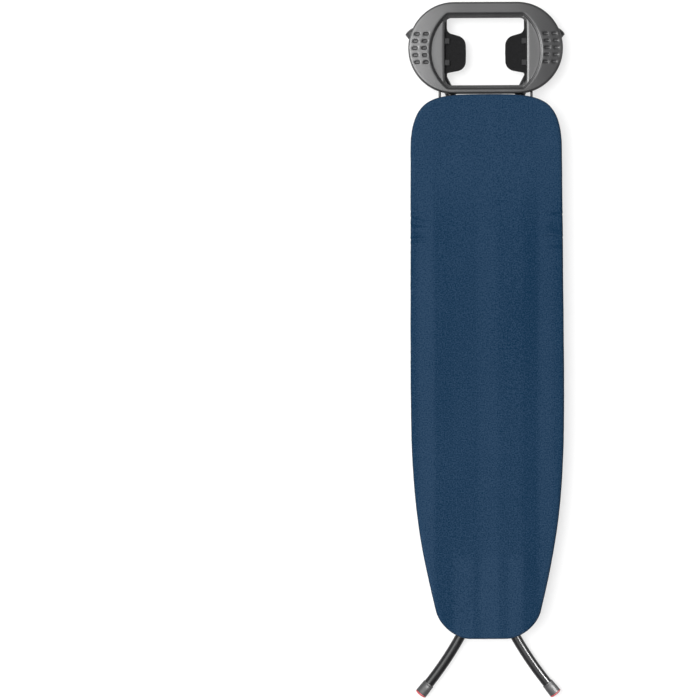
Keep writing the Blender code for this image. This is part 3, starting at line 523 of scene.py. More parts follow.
def swept(path, radius, bore=None, sides=32):
    """A round bar with eased ends, or a tube if it has a bore, along a path of points."""
    up = Vector((0, 0, 1))
    outer, inner = [], []
    for i, place in enumerate(path):
        ahead = path[min(i + 1, len(path) - 1)]
        behind = path[max(i - 1, 0)]
        heading = (ahead - behind).normalized()
        up = (up - heading * up.dot(heading)).normalized()
        outer.append(ring(place, heading, up, radius, sides))
        if bore:
            inner.append(ring(place, heading, up, bore, sides))
    if not bore:
        ease = 0.25 * radius
        for end, inside in ((0, 1), (-1, -2)):
            way = (path[end] - path[inside]).normalized()
            middle = path[end]
            tip = [middle + (point - middle) * 0.72 for point in outer[end]]
            outer[end] = [point - way * ease for point in outer[end]]
            outer.insert(0 if end == 0 else len(outer), tip)
    bm = bmesh.new()
    skin(bm, outer + inner[::-1], closed=bool(bore))
    return bm


def bent_wire(corners, bend):
    """A path through corners in space, in the board's own measure, each turned with the same bend radius."""
    steps = 12
    corners = [Vector(corner) + Vector((0, MIDDLE_Y, 0)) for corner in corners]
    path = [corners[0]]
    for before, corner, after in zip(corners, corners[1:], corners[2:]):
        back = (before - corner).normalized()
        on = (after - corner).normalized()
        half = back.angle(on) / 2
        centre = corner + (back + on).normalized() * (bend / math.sin(half))
        start = corner + back * (bend / math.tan(half)) - centre
        end = corner + on * (bend / math.tan(half)) - centre
        axis, sweep = start.cross(end), start.angle(end)
        for step in range(steps + 1):
            path.append(centre + Quaternion(axis, sweep * step / steps) @ start)
    path.append(corners[-1])
    return path


# ---------------------------------------------------------------- board outline

def bezier(first, second, t):
    """Place and heading at t between two knots of the board's outline."""
    angle_a, angle_b = math.radians(first[2]), math.radians(second[2])
    a, d = Vector(first[:2]), Vector(second[:2])
    b = a + first[4] * Vector((math.cos(angle_a), math.sin(angle_a)))
    c = d - second[3] * Vector((math.cos(angle_b), math.sin(angle_b)))
    s = 1 - t
    place = s**3 * a + 3 * s * s * t * b + 3 * s * t * t * c + t**3 * d
    heading = 3 * s * s * (b - a) + 6 * s * t * (c - b) + 3 * t * t * (d - c)
    return place, heading.normalized()


def half_samples(spacing):
    """Evenly spaced places and headings down the right half of the board's outline."""
    fine = []
    for first, second in zip(HALF_OUTLINE, HALF_OUTLINE[1:]):
        fine += [bezier(first, second, step / 400) for step in range(400)]
    fine.append((Vector(HALF_OUTLINE[-1][:2]), Vector((-1, 0))))
    lengths = [0.0]
    for (before, _), (after, _) in zip(fine, fine[1:]):
        lengths.append(lengths[-1] + (after - before).length)
    count = round(lengths[-1] / spacing)
    samples, i = [], 0
    for n in range(count):
        target = lengths[-1] * n / count
        while lengths[i + 1] < target:
            i += 1
        share = (target - lengths[i]) / (lengths[i + 1] - lengths[i])
        place = fine[i][0].lerp(fine[i + 1][0], share)
        heading = fine[i][1].lerp(fine[i + 1][1], share).normalized()
        samples.append((place, heading))
    samples.append(fine[-1])
    return samples


def board_outline(inset, spacing=0.006):
    """The board's outline, moved in by a distance, clockwise from the middle of the square end."""
    half = [(place.x + inset * heading.y, place.y - inset * heading.x)
            for place, heading in half_samples(spacing)]
    return half + [(-x, y) for x, y in half[-2:0:-1]]


def round_board(section, closed):
    """A solid with the same section all the way round the board."""
    bm = bmesh.new()
    skin(bm, [level(board_outline(inset), z) for inset, z in section], closed)
    return bm


# ---------------------------------------------------------------- cover, pad and mesh

CREASES = (  # side, middle, half length, height and reach of a patch of edge creases
    (-1, 0.302, 0.028, 0.0012, 0.016), (-1, 0.252, 0.016, 0.0009, 0.016), (1, 0.300, 0.030, 0.0006, 0.016),
    (-1, -0.150, 0.060, 0.0002, 0.010), (1, -0.060, 0.080, 0.0002, 0.010), (-1, -0.430, 0.060, 0.0004, 0.016),
    (1, -0.440, 0.060, 0.0004, 0.016), (-1, 0.500, 0.040, 0.0004, 0.018), (1, 0.500, 0.040, 0.0004, 0.018),
)
FOLDS = (  # side, how far along, inner x, depth: folds pressed into the cloth near the long edges
    (1, 0.3120, 0.100, 0.0015), (1, 0.2650, 0.108, 0.0012), (-1, 0.3170, 0.134, 0.0013),
    (-1, 0.3040, 0.141, 0.0011), (-1, 0.2880, 0.138, 0.0011), (-1, 0.2600, 0.128, 0.0014),
    (-1, 0.2480, 0.140, 0.0010),
)


def ridges(along, pitch, seed):
    """Irregular folds along a line, from 0 to 1."""
    value = noise.noise(Vector((along / pitch, seed, 0.0)))
    return max(0.0, 1.0 - 2.6 * abs(value)) ** 1.5


def crease_height(x, y, inward):
    """How far the cloth stands up in the creases near an edge."""
    height = 0.0
    for side, middle, half_length, rise, reach in CREASES:
        if x * side <= 0:
            continue
        near = math.exp(-((y - middle) / half_length) ** 2) * math.exp(-((inward / reach) ** 2))
        skew = y + 0.25 * inward
        height += rise * near * (ridges(skew, 0.011, side * 3.1) - 0.25)
    for side, middle, inner, depth in FOLDS:
        if x * side <= 0:
            continue
        place = middle + 0.0015 * math.sin((abs(x) - inner) * 90)
        off = (y - place) / 0.0022
        start = min(1.0, max(0.0, (abs(x) - inner + 0.010) / 0.020))
        height += depth * start * (0.7 * math.exp(-((off - 1.6) ** 2)) - math.exp(-off * off))
    return height


def cover_section():
    """The cover's section from its hem tunnel round the rim to the top, as (inset, height)."""
    radius = 0.0026
    section = []
    for degrees in (232, 205, 175, 140, 100, 60, 25, -10, -45, -78):
        angle = math.radians(degrees)
        section.append((HEM_INSET - radius * math.cos(angle + math.pi), HEM_Z + radius * math.sin(angle)))
    section += [
        (0.0135, 0.0294), (0.0100, 0.0293), (0.0065, 0.0292), (0.0042, 0.0293), (0.0024, 0.0298),
        (0.0010, 0.0311), (0.0002, 0.0332), (0.0, 0.0360), (0.0, 0.0400), (0.0, 0.0440),
        (0.0002, 0.0468), (0.0009, 0.0492), (0.0021, 0.0509), (0.0038, 0.0519), (0.0060, 0.0524),
    ]
    return section


CLOTH_SPACING = 0.0025
TUNNEL_LOOPS = 10
TOP_SHARES = (0.01, 0.025, 0.04, 0.06, 0.08, 0.105, 0.13, 0.16, 0.19, 0.23, 0.27, 0.32, 0.38, 0.45, 0.53,
              0.62, 0.72, 0.82, 0.91, 1.0)


def cover_relief(x, y):
    """The cloth's slow rise and fall over the pad."""
    waves = noise.noise(Vector((x * 9, y * 3.2, 0.0))) * 0.0004
    waves += noise.noise(Vector((x * 34, y * 10, 4.0))) * 0.00022
    return waves


def make_cover():
    """A cotton cover pulled over the pad and the rim, its edge gathered into a hem tunnel underneath."""
    section = cover_section()
    outlines = {inset: board_outline(inset, CLOTH_SPACING) for inset, _ in section}
    along = [0.0]
    for (x0, y0), (x1, y1) in zip(outlines[0.0], outlines[0.0][1:]):
        along.append(along[-1] + math.hypot(x1 - x0, y1 - y0))
    loops = []
    for row, (inset, z) in enumerate(section):
        loop = []
        gather = max(0.0, 1 - abs(z - COVER_LOW) / 0.012) if z < 0.042 else 0.0
        gather = 1.0 if row < TUNNEL_LOOPS else gather
        for i, (x, y) in enumerate(outlines[inset]):
            s = along[i]
            fold = gather * 0.0011 * (ridges(s, 0.0075, 11.0) - 0.3)
            fold += gather * 0.0006 * noise.noise(Vector((s / 0.02, 7.0, row * 0.15)))
            hang = 0.0004 * noise.noise(Vector((s / 0.09, 2.0, 0.0)))
            hang += 0.00015 * noise.noise(Vector((s / 0.012, 5.0, z / 0.01)))
            crease = crease_height(x, y, max(0.0, 0.052 - z)) if z > 0.034 else 0.0
            outer, inner = outlines[0.0][i], outlines[section[0][0]][i]
            way = Vector((outer[0] - inner[0], outer[1] - inner[1])).normalized()
            push = (hang if row >= TUNNEL_LOOPS else 0.0) + crease * (0.4 if z < 0.050 else 0.3)
            rise = -fold if row < TUNNEL_LOOPS + 5 else crease * (0.8 if z > 0.050 else 0.0)
            if TUNNEL_LOOPS + 5 <= row < TUNNEL_LOOPS + 8:
                push -= fold * 0.7
            loop.append(at(x + way.x * push, y + way.y * push, z + rise))
        loops.append(loop)
    edge = outlines[section[-1][0]]
    for share in TOP_SHARES:
        loop = []
        for i, (x, y) in enumerate(edge):
            spine_y = max(-0.485, min(0.455, y))
            px, py = x * (1 - share), y + (spine_y - y) * share
            inward = math.hypot(px - outlines[0.0][i][0], py - outlines[0.0][i][1])
            crown = 0.0004 * math.sin(min(1.0, share * 2.2) * math.pi / 2)
            ease = min(1.0, share / 0.08)
            z = COVER_TOP + crown + ease * cover_relief(px, py) + crease_height(px, py, inward)
            loop.append(at(px, py, z))
        loops.append(loop)
    bm = bmesh.new()
    skin(bm, loops, closed=None)
    bmesh.ops.remove_doubles(bm, verts=bm.verts, dist=2e-5)
    cover = add_piece("cover_cloth", bm, "board", "cover_fabric", ["cover"], sharp=180)
    cloth = cover.modifiers.new("cloth", "SOLIDIFY")
    cloth.thickness = COVER_SHEET
    cloth.offset = -1


def make_stitches():
    """Thread along the hem tunnel: short runs on the underside, one after the other."""
    line = board_outline(STITCH_INSET, spacing=0.0066)
    bm = bmesh.new()
    length, gap, radius = 0.0046, 0.0020, 0.00035
    walked = 0.0
    for (x0, y0), (x1, y1) in zip(line, line[1:] + line[:1]):
        a, b = at(x0, y0, STITCH_Z), at(x1, y1, STITCH_Z)
        span = (b - a).length
        if span < 1e-7:
            continue
        way = (b - a) / span
        place = -walked % (length + gap)
        while place + length <= span:
            sag = [Vector((0, 0, -0.00025 * math.sin(math.pi * k / 3))) for k in range(4)]
            points = [a + way * (place + length * k / 3) + sag[k] for k in range(4)]
            loops = [ring(p, way, Vector((0, 0, 1)), radius * (1 if 0 < k < 3 else 0.6), 6)
                     for k, p in enumerate(points)]
            skin(bm, loops, closed=False)
            place += length + gap
        walked = (walked + span) % (length + gap)
    add_piece("hem_stitches", bm, "board", "hem_elastic", material=THREAD)


def make_hem_cord():
    """The elastic cord that runs in the hem."""
    turns = [math.tau * i / 12 for i in range(12)]
    section = [(HEM_INSET + 0.0015 * math.cos(turn), HEM_Z + 0.0015 * math.sin(turn)) for turn in turns]
    add_piece("hem_cord_elastic", round_board(section, closed=True), "board", "hem_elastic", ["hem_cord"])


def make_pad():
    """The felt under the cover, cut to the board's outline."""
    section = (  # (inset, height)
        (0.0030, 0.0456), (0.0019, 0.0462), (0.0018, 0.0472), (0.0026, 0.0488), (0.0042, 0.0499),
        (0.0068, 0.0505), (0.0110, 0.0508),
    )
    pad = add_piece("pad_felt_layer", round_board(section, closed=False), "board", "felt", ["pad"])


def inside_board(x, y, half):
    """Whether a point in the board's own measure is inside an outline's right half."""
    for (x0, y0), (x1, y1) in zip(half, half[1:]):
        if y1 <= y <= y0 and y0 > y1:
            return abs(x) <= x0 + (x1 - x0) * (y0 - y) / (y0 - y1)
    return False


def make_mesh_top():
    """Expanded steel: diamonds of slit and stretched sheet, inside a flat edge band."""
    long_pitch, short_pitch = 0.020, 0.010
    band_inner = 0.0125
    outline = board_outline(band_inner)
    half = outline[: len(outline) // 2 + 1]
    band = ((0.0052, 0.0440), (0.0052, 0.0447), (band_inner, 0.0447), (band_inner, 0.0440))
    bm = round_board(band, closed=True)
    rows = int(BOARD_LENGTH / long_pitch) + 2
    columns = int(BOARD_WIDTH / short_pitch) + 2
    for row in range(-rows, rows + 1):
        for column in range(-columns, columns + 1):
            if (row + column) % 2:
                continue
            x, y = column * short_pitch / 2, row * long_pitch / 2
            for step in (-1, 1):
                end_x, end_y = x + step * short_pitch / 2, y + long_pitch / 2
                if inside_board(x, y, half) or inside_board(end_x, end_y, half):
                    add_strand(bm, at(x, y, MESH_Z), at(end_x, end_y, MESH_Z))
    add_piece("mesh_top_expanded", bm, "board", "black_paint", ["mesh_top"], sharp=60)


def add_strand(bm, start, end):
    """One strand of the mesh, a flat bar that stands a little on edge."""
    way = (end - start).normalized()
    across = way.cross(Vector((0, 0, 1)))
    tilt = across * 0.0008 + Vector((0, 0, 0.00035))
    thick = Vector((0, 0, 0.0003)) - across * 0.0001
    loops = []
    for place in (start - way * 0.0003, end + way * 0.0003):
        loops.append([place - tilt - thick, place + tilt - thick, place + tilt + thick, place - tilt + thick])
    skin(bm, loops, closed=False)


def make_rim():
    """The rolled edge channel."""
    outer, inner, wall = 0.004, 0.013, 0.0052
    low, top, sheet = 0.0303, 0.0437, 0.0012
    section = (
        (inner, low), (outer + 0.0016, low), (outer + 0.0005, low + 0.0005), (outer, low + 0.0016),
        (outer, top - 0.0016), (outer + 0.0005, top - 0.0005), (outer + 0.0016, top), (inner, top),
        (inner, top - sheet), (wall + 0.0006, top - sheet), (wall, top - sheet - 0.0006),
        (wall, low + sheet + 0.0006), (wall + 0.0006, low + sheet), (inner, low + sheet),
    )
    add_piece("edge_frame_rim", round_board(section, closed=True), "board", "black_paint",
              ["edge_frame"])


# ---------------------------------------------------------------- iron rest

def quarter_loop(middle_y, depth_half, straight, corner):
    """A closed loop mirrored from one quarter: a straight run, then the corner's points."""
    straight_steps = 8
    run = [(straight * i / straight_steps, depth_half) for i in range(straight_steps + 1)]
    quarter = run + corner
    lower = [(x, -y) for x, y in quarter[-2::-1]]
    half = quarter + lower
    whole = half + [(-x, y) for x, y in half[-2:0:-1]]
    return [(x, middle_y + y) for x, y in whole]


CORNER_STEPS = 28


def arc(centre_x, centre_y, radius, from_angle, to_angle, steps):
    """Points on an arc after its first one."""
    points = []
    for step in range(1, steps + 1):
        angle = from_angle + (to_angle - from_angle) * step / steps
        points.append((centre_x + radius * math.cos(angle), centre_y + radius * math.sin(angle)))
    return points


def rest_outline(grow):
    """The iron rest's outer outline, a stadium."""
    radius = REST_DEPTH / 2 + grow
    straight = REST_LENGTH / 2 - REST_DEPTH / 2
    end = arc(straight, 0, radius, math.pi / 2, 0, CORNER_STEPS)
    return quarter_loop(REST_MIDDLE_Y, radius, straight, end)


def window_outline(grow):
    """The opening in the rest's top face: straight along the board, a wide arc at each end."""
    half = WINDOW_DEPTH / 2 + grow
    radius = WINDOW_ARC + grow
    centre = WINDOW_REACH - WINDOW_ARC
    small = 0.012
    lean = math.asin((half - small) / (radius - small))
    straight = centre + (radius - small) * math.cos(lean)
    small_steps = 6
    corner = arc(straight, half - small, small, math.pi / 2, lean, small_steps)
    corner += arc(centre, 0, radius, lean, 0, CORNER_STEPS - small_steps)
    return quarter_loop(WINDOW_MIDDLE_Y, half, straight, corner)


def well_outline(grow):
    """The opening right through the rest, inside the recessed shelves and the ledges."""
    half = WINDOW_DEPTH / 2 - WELL_LEDGE + grow
    reach = WELL_REACH + grow
    corner_steps = 12
    corner = arc(reach - WELL_CORNER, half - WELL_CORNER, WELL_CORNER, math.pi / 2, 0, corner_steps)
    rest_steps = CORNER_STEPS - corner_steps
    side = [(reach, (half - WELL_CORNER) * (1 - step / rest_steps)) for step in range(1, rest_steps + 1)]
    return quarter_loop(WINDOW_MIDDLE_Y, half, reach - WELL_CORNER, corner + side)


def sloped(grow, z):
    """The well's outline at a height, lowered where the ledges slope down to it."""
    straight = WINDOW_DEPTH / 2 - WELL_LEDGE - WELL_CORNER
    loop = []
    for x, y in well_outline(grow):
        share = max(0.0, abs(y - WINDOW_MIDDLE_Y) - straight) / WELL_CORNER
        loop.append(at(x, y, z - LEDGE_DROP * min(1.0, share) ** 2))
    return loop


def between(first, second, shares):
    return [[a.lerp(b, share) for a, b in zip(first, second)] for share in shares]


def levels(outline, pairs):
    """Loops of one outline, each grown by a distance and put at a height."""
    return [level(outline(grow), z) for grow, z in pairs]


def rest_loops():
    """Loops round the section of the rest's shell: up the outside, in, down the window and well, and back."""
    wall, top, shelf_z = REST_WALL, REST_TOP, REST_SHELF
    curve = 0.0044
    loops = levels(rest_outline, ((0.0, REST_LOW + 0.0006), (0.0, REST_LOW + 0.0050), (0.0, top - curve)))
    for degrees in (15, 30, 45, 60, 75, 90):
        angle = math.radians(degrees)
        loops.append(level(rest_outline(-curve * (1 - math.cos(angle))), top - curve * (1 - math.sin(angle))))
    outer, inner = level(rest_outline(-curve), top), level(window_outline(0.0034), top)
    loops += between(outer, inner, [step / 10 for step in range(1, 10)])
    loops += levels(window_outline, (
        (0.0034, top), (0.0030, top - 0.0001), (0.0013, top - 0.0006), (0.0010, top - 0.0008),
        (0.0006, top - 0.0025), (0.0003, top - 0.0027), (-0.0012, top - 0.0032), (-0.0016, top - 0.0035),
        (-0.0022, shelf_z + 0.0007), (-0.0026, shelf_z + 0.0002),
    ))
    shelf, edge = level(window_outline(-0.0034), shelf_z), sloped(0.0030, shelf_z)
    loops += between(shelf, edge, (0.15, 0.35, 0.6, 0.85))
    loops += [edge]
    loops += [sloped(grow, shelf_z - drop) for grow, drop in (
        (0.0028, 0.0001), (0.0008, 0.0006), (0.0003, 0.0009), (0.0, 0.0017),
    )]
    loops += levels(well_outline, (
        (-WELL_DRAFT, WELL_LOW + 0.0005), (-WELL_DRAFT + 0.0004, WELL_LOW), (-WELL_DRAFT + wall, WELL_LOW),
    ))
    loops += [sloped(wall, shelf_z - wall)]
    loops += levels(window_outline, (
        (0.0001, shelf_z - wall), (wall, shelf_z - wall + 0.001), (wall, top - wall),
    ))
    loops += levels(rest_outline, (
        (-wall, top - wall), (-wall, REST_LOW + 0.0006), (-0.0014, REST_LOW), (-0.0006, REST_LOW),
    ))
    return loops


def dome(vertices):
    """Lowers upper parts away from the middle, as the rest's top is domed."""
    for vertex in vertices:
        out = max(0.0, abs(vertex.co.x) - DOME_FLAT) / (REST_LENGTH / 2 - DOME_FLAT)
        up = (vertex.co.z - REST_LOW) / (REST_TOP - REST_LOW)
        vertex.co.z -= DOME_DROP * out**2 * up


def pill(x, y, grow, z):
    half, radius = DIMPLE_FLOOR[0] / 2 + grow, DIMPLE_FLOOR[1] / 2 + grow
    points = []
    for end, first in ((1, -math.pi / 2), (-1, math.pi / 2)):
        for step in range(11):
            angle = first + math.pi * step / 10
            along = end * (half - radius) + radius * math.cos(angle)
            points.append(at(x + along, y + radius * math.sin(angle), z))
    return points


def dimple_places():
    for x_middle, pull in DIMPLE_COLUMNS:
        for row in range(DIMPLE_ROWS):
            step = row - (DIMPLE_ROWS - 1) / 2
            x = x_middle - pull * (2 * step / (DIMPLE_ROWS - 1)) ** 2
            for _, side in SIDES:
                yield side * x, REST_MIDDLE_Y + step * DIMPLE_PITCH


def make_iron_rest():
    """The domed shell, with its blind dimples and the cups under them."""
    shell, cups, hollows = bmesh.new(), bmesh.new(), bmesh.new()
    skin(shell, rest_loops(), closed=True)
    floor = REST_TOP - DIMPLE_DEPTH
    low = floor - DIMPLE_WALL
    cup = ((low, DIMPLE_GROW - 0.0004), (low + 0.0005, DIMPLE_GROW), (floor, DIMPLE_GROW))
    hollow = (
        (floor - 0.0005, -0.0014), (floor - 0.0004, -0.0010), (floor - 0.0001, -0.0004),
        (floor + 0.0003, 0.0002), (REST_TOP - 0.0006, 0.0013), (REST_TOP - 0.0002, 0.0018),
        (REST_TOP + 0.0006, 0.0031),
    )
    for x, y in dimple_places():
        skin(cups, [pill(x, y, grow, z) for z, grow in cup], closed=False)
        skin(hollows, [pill(x, y, grow, z) for z, grow in hollow], closed=False)
    blank = as_object("rest_blank", shell)
    tools = [(as_object("dimple_cups", cups), "UNION"), (as_object("dimple_hollows", hollows), "DIFFERENCE")]
    for tool, operation in tools:
        boolean = blank.modifiers.new(tool.name, "BOOLEAN")
        boolean.operation = operation
        boolean.object = tool
    bpy.context.view_layer.update()
    graph = bpy.context.evaluated_depsgraph_get()
    mesh = bpy.data.meshes.new_from_object(blank.evaluated_get(graph))
    for used in (blank, *(tool for tool, _ in tools)):
        bpy.data.objects.remove(used)
    bm = bmesh.new()
    bm.from_mesh(mesh)
    bmesh.ops.triangulate(bm, faces=[face for face in bm.faces if len(face.verts) > 4])
    dome(bm.verts)
    add_piece("iron_rest_shell", bm, "board", "rest_plastic", ["iron_rest"], sharp=32)
    for side_name, side in SIDES:
        for name, y in TONGUE_PLACES:
            low_x, high_x = sorted(side * x for x in TONGUE_X)
            low_y, high_y = y - TONGUE_HALF_WIDTH, y + TONGUE_HALF_WIDTH
            corners = [(low_x, low_y), (high_x, low_y), (high_x, high_y), (low_x, high_y)]
            # The tongues take the darker copy of the rest plastic, with its painted shade.
            add_piece(f"rest_tongue_{name}_{side_name}", extruded_up(*TONGUE_Z, corners), "board",
                      "rest_plastic", bevel=0.0006, material=DULL_SHADED_PLASTIC)


def make_rest_supports():
    x, near, far, z = 0.0935, 0.494, 0.731, 0.0258
    corners = ((-x, near, z), (-x, far, z), (x, far, z), (x, near, z))
    wire = swept(bent_wire(corners, 0.015), 0.0025, sides=24)
    add_piece("rest_wire_bent", wire, "board", "black_paint", ["rest_wire"])
    for side_name, side in SIDES:
        wing = [
            (0.0785, 0.7090, 0), (0.0785, 0.6826, 0.012), (0.0405, 0.6715, 0.021), (0.0398, 0.6420, 0.050),
            (0.0405, 0.6070, 0.020), (0.0785, 0.5998, 0.003), (0.0785, 0.5790, 0), (0.0930, 0.5920, 0.010),
            (0.1060, 0.6150, 0.020), (0.1060, 0.6720, 0.020), (0.0930, 0.6960, 0.010),
        ]
        plate = extruded_up(*WING_Z, rounded([(side * x, y, radius) for x, y, radius in wing], 64))
        node = f"rest_wing_{side_name}"
        add_piece(node + "_plate", plate, "board", "textured_steel", [node], bevel=0.0004)
        refine(f"rest_clamp_{side_name}", "board", "dark_plastic")


# ---------------------------------------------------------------- legs

def leg_line(leg, side, trim=0.0):
    """Points along a leg's tube from its top end, and its last heading. trim shortens the foot's end."""
    bend_steps = 16
    _, x, way, pivot_y, straight_end, bends = leg
    place = at(side * x, straight_end, FOOT_RADIUS)
    points = [at(side * x, pivot_y - way * TUBE_OVERHANG, FOOT_RADIUS), place.copy()]
    turned_to = 0.0
    for radius, degrees in bends:
        start = turned_to
        turned_to += math.radians(degrees)
        for step in range(1, bend_steps + 1):
            angle = start + (turned_to - start) * step / bend_steps
            across = side * radius * (math.cos(start) - math.cos(angle))
            along = way * radius * (math.sin(angle) - math.sin(start))
            points.append(place + Vector((across, along, 0)))
        place = points[-1]
    heading = Vector((side * math.sin(turned_to), way * math.cos(turned_to), 0))
    points.append(place + heading * (FOOT_STRAIGHT - trim))
    return points, heading


# Profiles of a leg's turned pieces, as (distance, radius)
PLUG = (
    (0.010, 0.0040), (0.010, 0.0086), (0.0002, 0.0088), (-0.0004, 0.0099), (-0.0016, 0.0098),
    (-0.0022, 0.0086),
)
CAP = (
    (0.0225, 0.0105), (0.0006, 0.0105), (0.0, 0.0108), (0.0001, 0.0112), (0.0008, 0.0116), (0.0034, 0.0117),
    (0.0038, 0.01145), (0.0046, 0.01145), (0.0050, 0.0117), (0.0130, 0.0120), (0.0200, 0.0122),
    (0.0238, 0.0123), (0.0248, 0.0123), (0.0252, 0.0119),
)
SOLE = (
    (-0.0002, 0.0112), (0.0, 0.0121), (0.0003, 0.0124), (0.0010, 0.0125), (0.0018, 0.0120), (0.0026, 0.0109),
    (0.0033, 0.0092), (0.0039, 0.0070), (0.0043, 0.0044), (0.0045, 0.0016),
)


def make_leg(leg, body):
    leg_name, x, way, pivot_y, _, _ = leg
    rubber = "red_rubber" if leg_name == "front" else "grey_rubber"
    for side_name, side in SIDES:
        name = f"{leg_name}_leg_tube_{side_name}"
        path, heading = leg_line(leg, side, trim=0.0077)
        tube = swept(path, TUBE_RADIUS, TUBE_RADIUS - TUBE_WALL, 40)
        add_piece(name + "_bent", tube, body, "black_paint", [name])
        top = at(side * x, pivot_y - way * TUBE_OVERHANG, FOOT_RADIUS)
        add_piece(f"{leg_name}_leg_plug_{side_name}", turned(top, (0, way, 0), PLUG), body, "dark_plastic")
        sole = leg_line(leg, side)[0][-1]
        for node, suffix, back, profile, slot in (
            ("foot", "cap", SOLE_THICK + CAP_LENGTH, CAP, "dark_plastic"),
            ("sole", "pad", SOLE_THICK, SOLE, rubber),
        ):
            add_turned(f"{leg_name}_{node}_{side_name}", suffix, sole - heading * back, heading, profile,
                       body, slot, sides=56)
        refine(f"{leg_name}_leg_lug_{side_name}", body, "black_paint", 0.0006)


def make_brace(name, y, tube_x, body):
    reach = tube_x - TUBE_RADIUS + 0.0006
    profile = ((0, 0.007), (2 * reach, 0.007), (2 * reach, 0.0058), (0, 0.0058))
    add_turned(name, "tube", at(-reach, y, FOOT_RADIUS), (1, 0, 0), profile, body, "black_paint", closed=True)
    for side_name, side in SIDES:
        place = at(side * (reach - 0.0006), y, FOOT_RADIUS)
        add_weld(f"{name}_weld_{side_name}", place, (side, 0, 0), 0.0072, body)


def add_weld(name, place, heading, radius, body):
    """A bead of weld round a tube's end."""
    heading = Vector(heading)
    across = heading.cross(Vector((0, 0, 1)))
    count, sides = 56, 8
    loops = []
    for i in range(count):
        angle = math.tau * i / count
        out = across * math.cos(angle) + Vector((0, 0, 1)) * math.sin(angle)
        bead = 0.0010 + 0.00018 * math.sin(angle * 19)
        loops.append([place + out * (radius + bead * math.cos(t)) + heading * bead * math.sin(t)
                      for t in (math.tau * k / sides for k in range(sides))])
    bm = bmesh.new()
    skin(bm, loops, closed=True)
    add_piece(name, bm, body, "black_paint", sharp=180)


def eased_ring(length, radius, bore, ease=0.0002):
    """The profile of a washer or a spacer with eased rims, as (distance, radius)."""
    return ((0, radius - ease), (ease, radius), (length - ease, radius), (length, radius - ease),
            (length, bore), (0, bore))


def make_fasteners():
    """Centre bolts, washers and nuts, the pivot axle and the slider rod with its spacers."""
    gap = 0.0003
    head_face, nut_face = FRONT_LEG[1] - TUBE_RADIUS - gap, REAR_LEG[1] + TUBE_RADIUS + gap
    inner = FRONT_LEG[1] + TUBE_RADIUS + gap
    thick = REAR_LEG[1] - TUBE_RADIUS - gap - inner
    shank = nut_face + 0.0050 - head_face + 0.003
    bolt = ((0, 0.0044), (0.0004, 0.0052), (0.0006, 0.0055), (0.0030, 0.0055), (0.0030, 0.0030),
            (shank - 0.0006, 0.0030), (shank, 0.0024))
    nut = ((0, 0.0052), (0.0002, 0.0055), (0.0034, 0.0055), (0.0038, 0.0052), (0.0040, 0.0044),
           (0.0040, 0.0033), (0, 0.0033))
    washer, spacer = eased_ring(thick, 0.0080, 0.0033), eased_ring(0.0047, 0.0055, 0.0043)
    push_nut = ((0, 0.0047), (0.0003, 0.0050), (0.0010, 0.0050), (0.0020, 0.0046), (0.0020, 0.0043),
                (0, 0.0043))
    centre, slider, pivot = (CENTRE_Y, FOOT_RADIUS), (SLIDER_Y, AXIS_Z), (PIVOT_Y, AXIS_Z)
    rows = (  # node, suffix, x, y and z, profile, body, slot and the loops that are hexagons
        ("centre_bolt", "hex", head_face - 0.003, centre, bolt, "front_leg", "zinc_steel", (2, 3)),
        ("centre_washer", "disc", inner, centre, washer, "front_leg", "nylon", ()),
        ("centre_nut", "hex", nut_face, centre, nut, "front_leg", "zinc_steel", (1, 2)),
        ("rod_spacer", "bush", 0.0673, slider, spacer, "rear_leg", "nylon", ()),
        ("axle_washer", "cap", 0.0523, pivot, push_nut, "board", "zinc_steel", ()),
    )
    for side_name, side in SIDES:
        for node, suffix, x, place, profile, body, slot, hexagons in rows:
            add_turned(f"{node}_{side_name}", suffix, at(side * x, *place), (side, 0, 0), profile, body, slot,
                       closed=node != "centre_bolt", hexagons=hexagons)
        refine(f"guide_block_{side_name}", "slider", "nylon", 0.0006)
    for node, end, y, body in (
        ("pivot_axle", 0.056, PIVOT_Y, "board"), ("slider_rod", 0.0824, SLIDER_Y, "rear_leg"),
    ):
        rod = ((0, 0.0032), (0.0008, 0.0040), (2 * end - 0.0008, 0.0040), (2 * end, 0.0032))
        add_turned(node, "turned", at(-end, y, AXIS_Z), (1, 0, 0), rod, body, "zinc_steel")


def make_latch():
    """The release lever with its ribbed grip, the notched channel and the spring."""
    refine("latch_strip", "latch", "zinc_steel", 0.0003)
    lever_y, low, bridge = -0.045, 0.012, 0.0260
    corners = ((0.020, -0.468, 0.013), (0.020, lever_y, 0.013), (0.020, lever_y, bridge),
               (0.067, lever_y, bridge), (0.084, lever_y, low), (0.127, lever_y, low))
    lever = swept(bent_wire(corners, 0.006), 0.00275, sides=24)
    add_piece("release_lever_bent", lever, "latch", "zinc_steel", ["release_lever"])
    grip = [(0.038, 0.0029), (0.0, 0.0029), (0.0, 0.0044), (0.0010, 0.0052), (0.0030, 0.0060),
            (0.0045, 0.0062)]
    rib_profile = ((0.0, 0.0056), (0.0008, 0.0053), (0.0016, 0.0056), (0.0026, 0.0060))
    for rib in range(7):
        grip += [(0.0070 + 0.0038 * rib + along, radius) for along, radius in rib_profile]
    grip += [(0.0355, 0.0062), (0.0375, 0.0064), (0.0390, 0.0060), (0.0398, 0.0050), (0.0400, 0.0036)]
    add_turned("release_grip", "ribbed", at(0.0900, lever_y, low), (1, 0, 0), grip, "latch", "dark_plastic",
               sides=40)
    path = []
    turns, steps = 6, 28
    for i in range(turns * steps + 1):
        angle = math.tau * i / steps
        y = -0.455 + 0.00125 + 0.001 + 0.016 * i / (turns * steps)
        path.append(at(0.020 + 0.0042 * math.cos(angle), y, 0.013 + 0.0042 * math.sin(angle)))
    add_piece("latch_spring_coil", swept(path, 0.0006, sides=10), "board", "zinc_steel", ["latch_spring"])


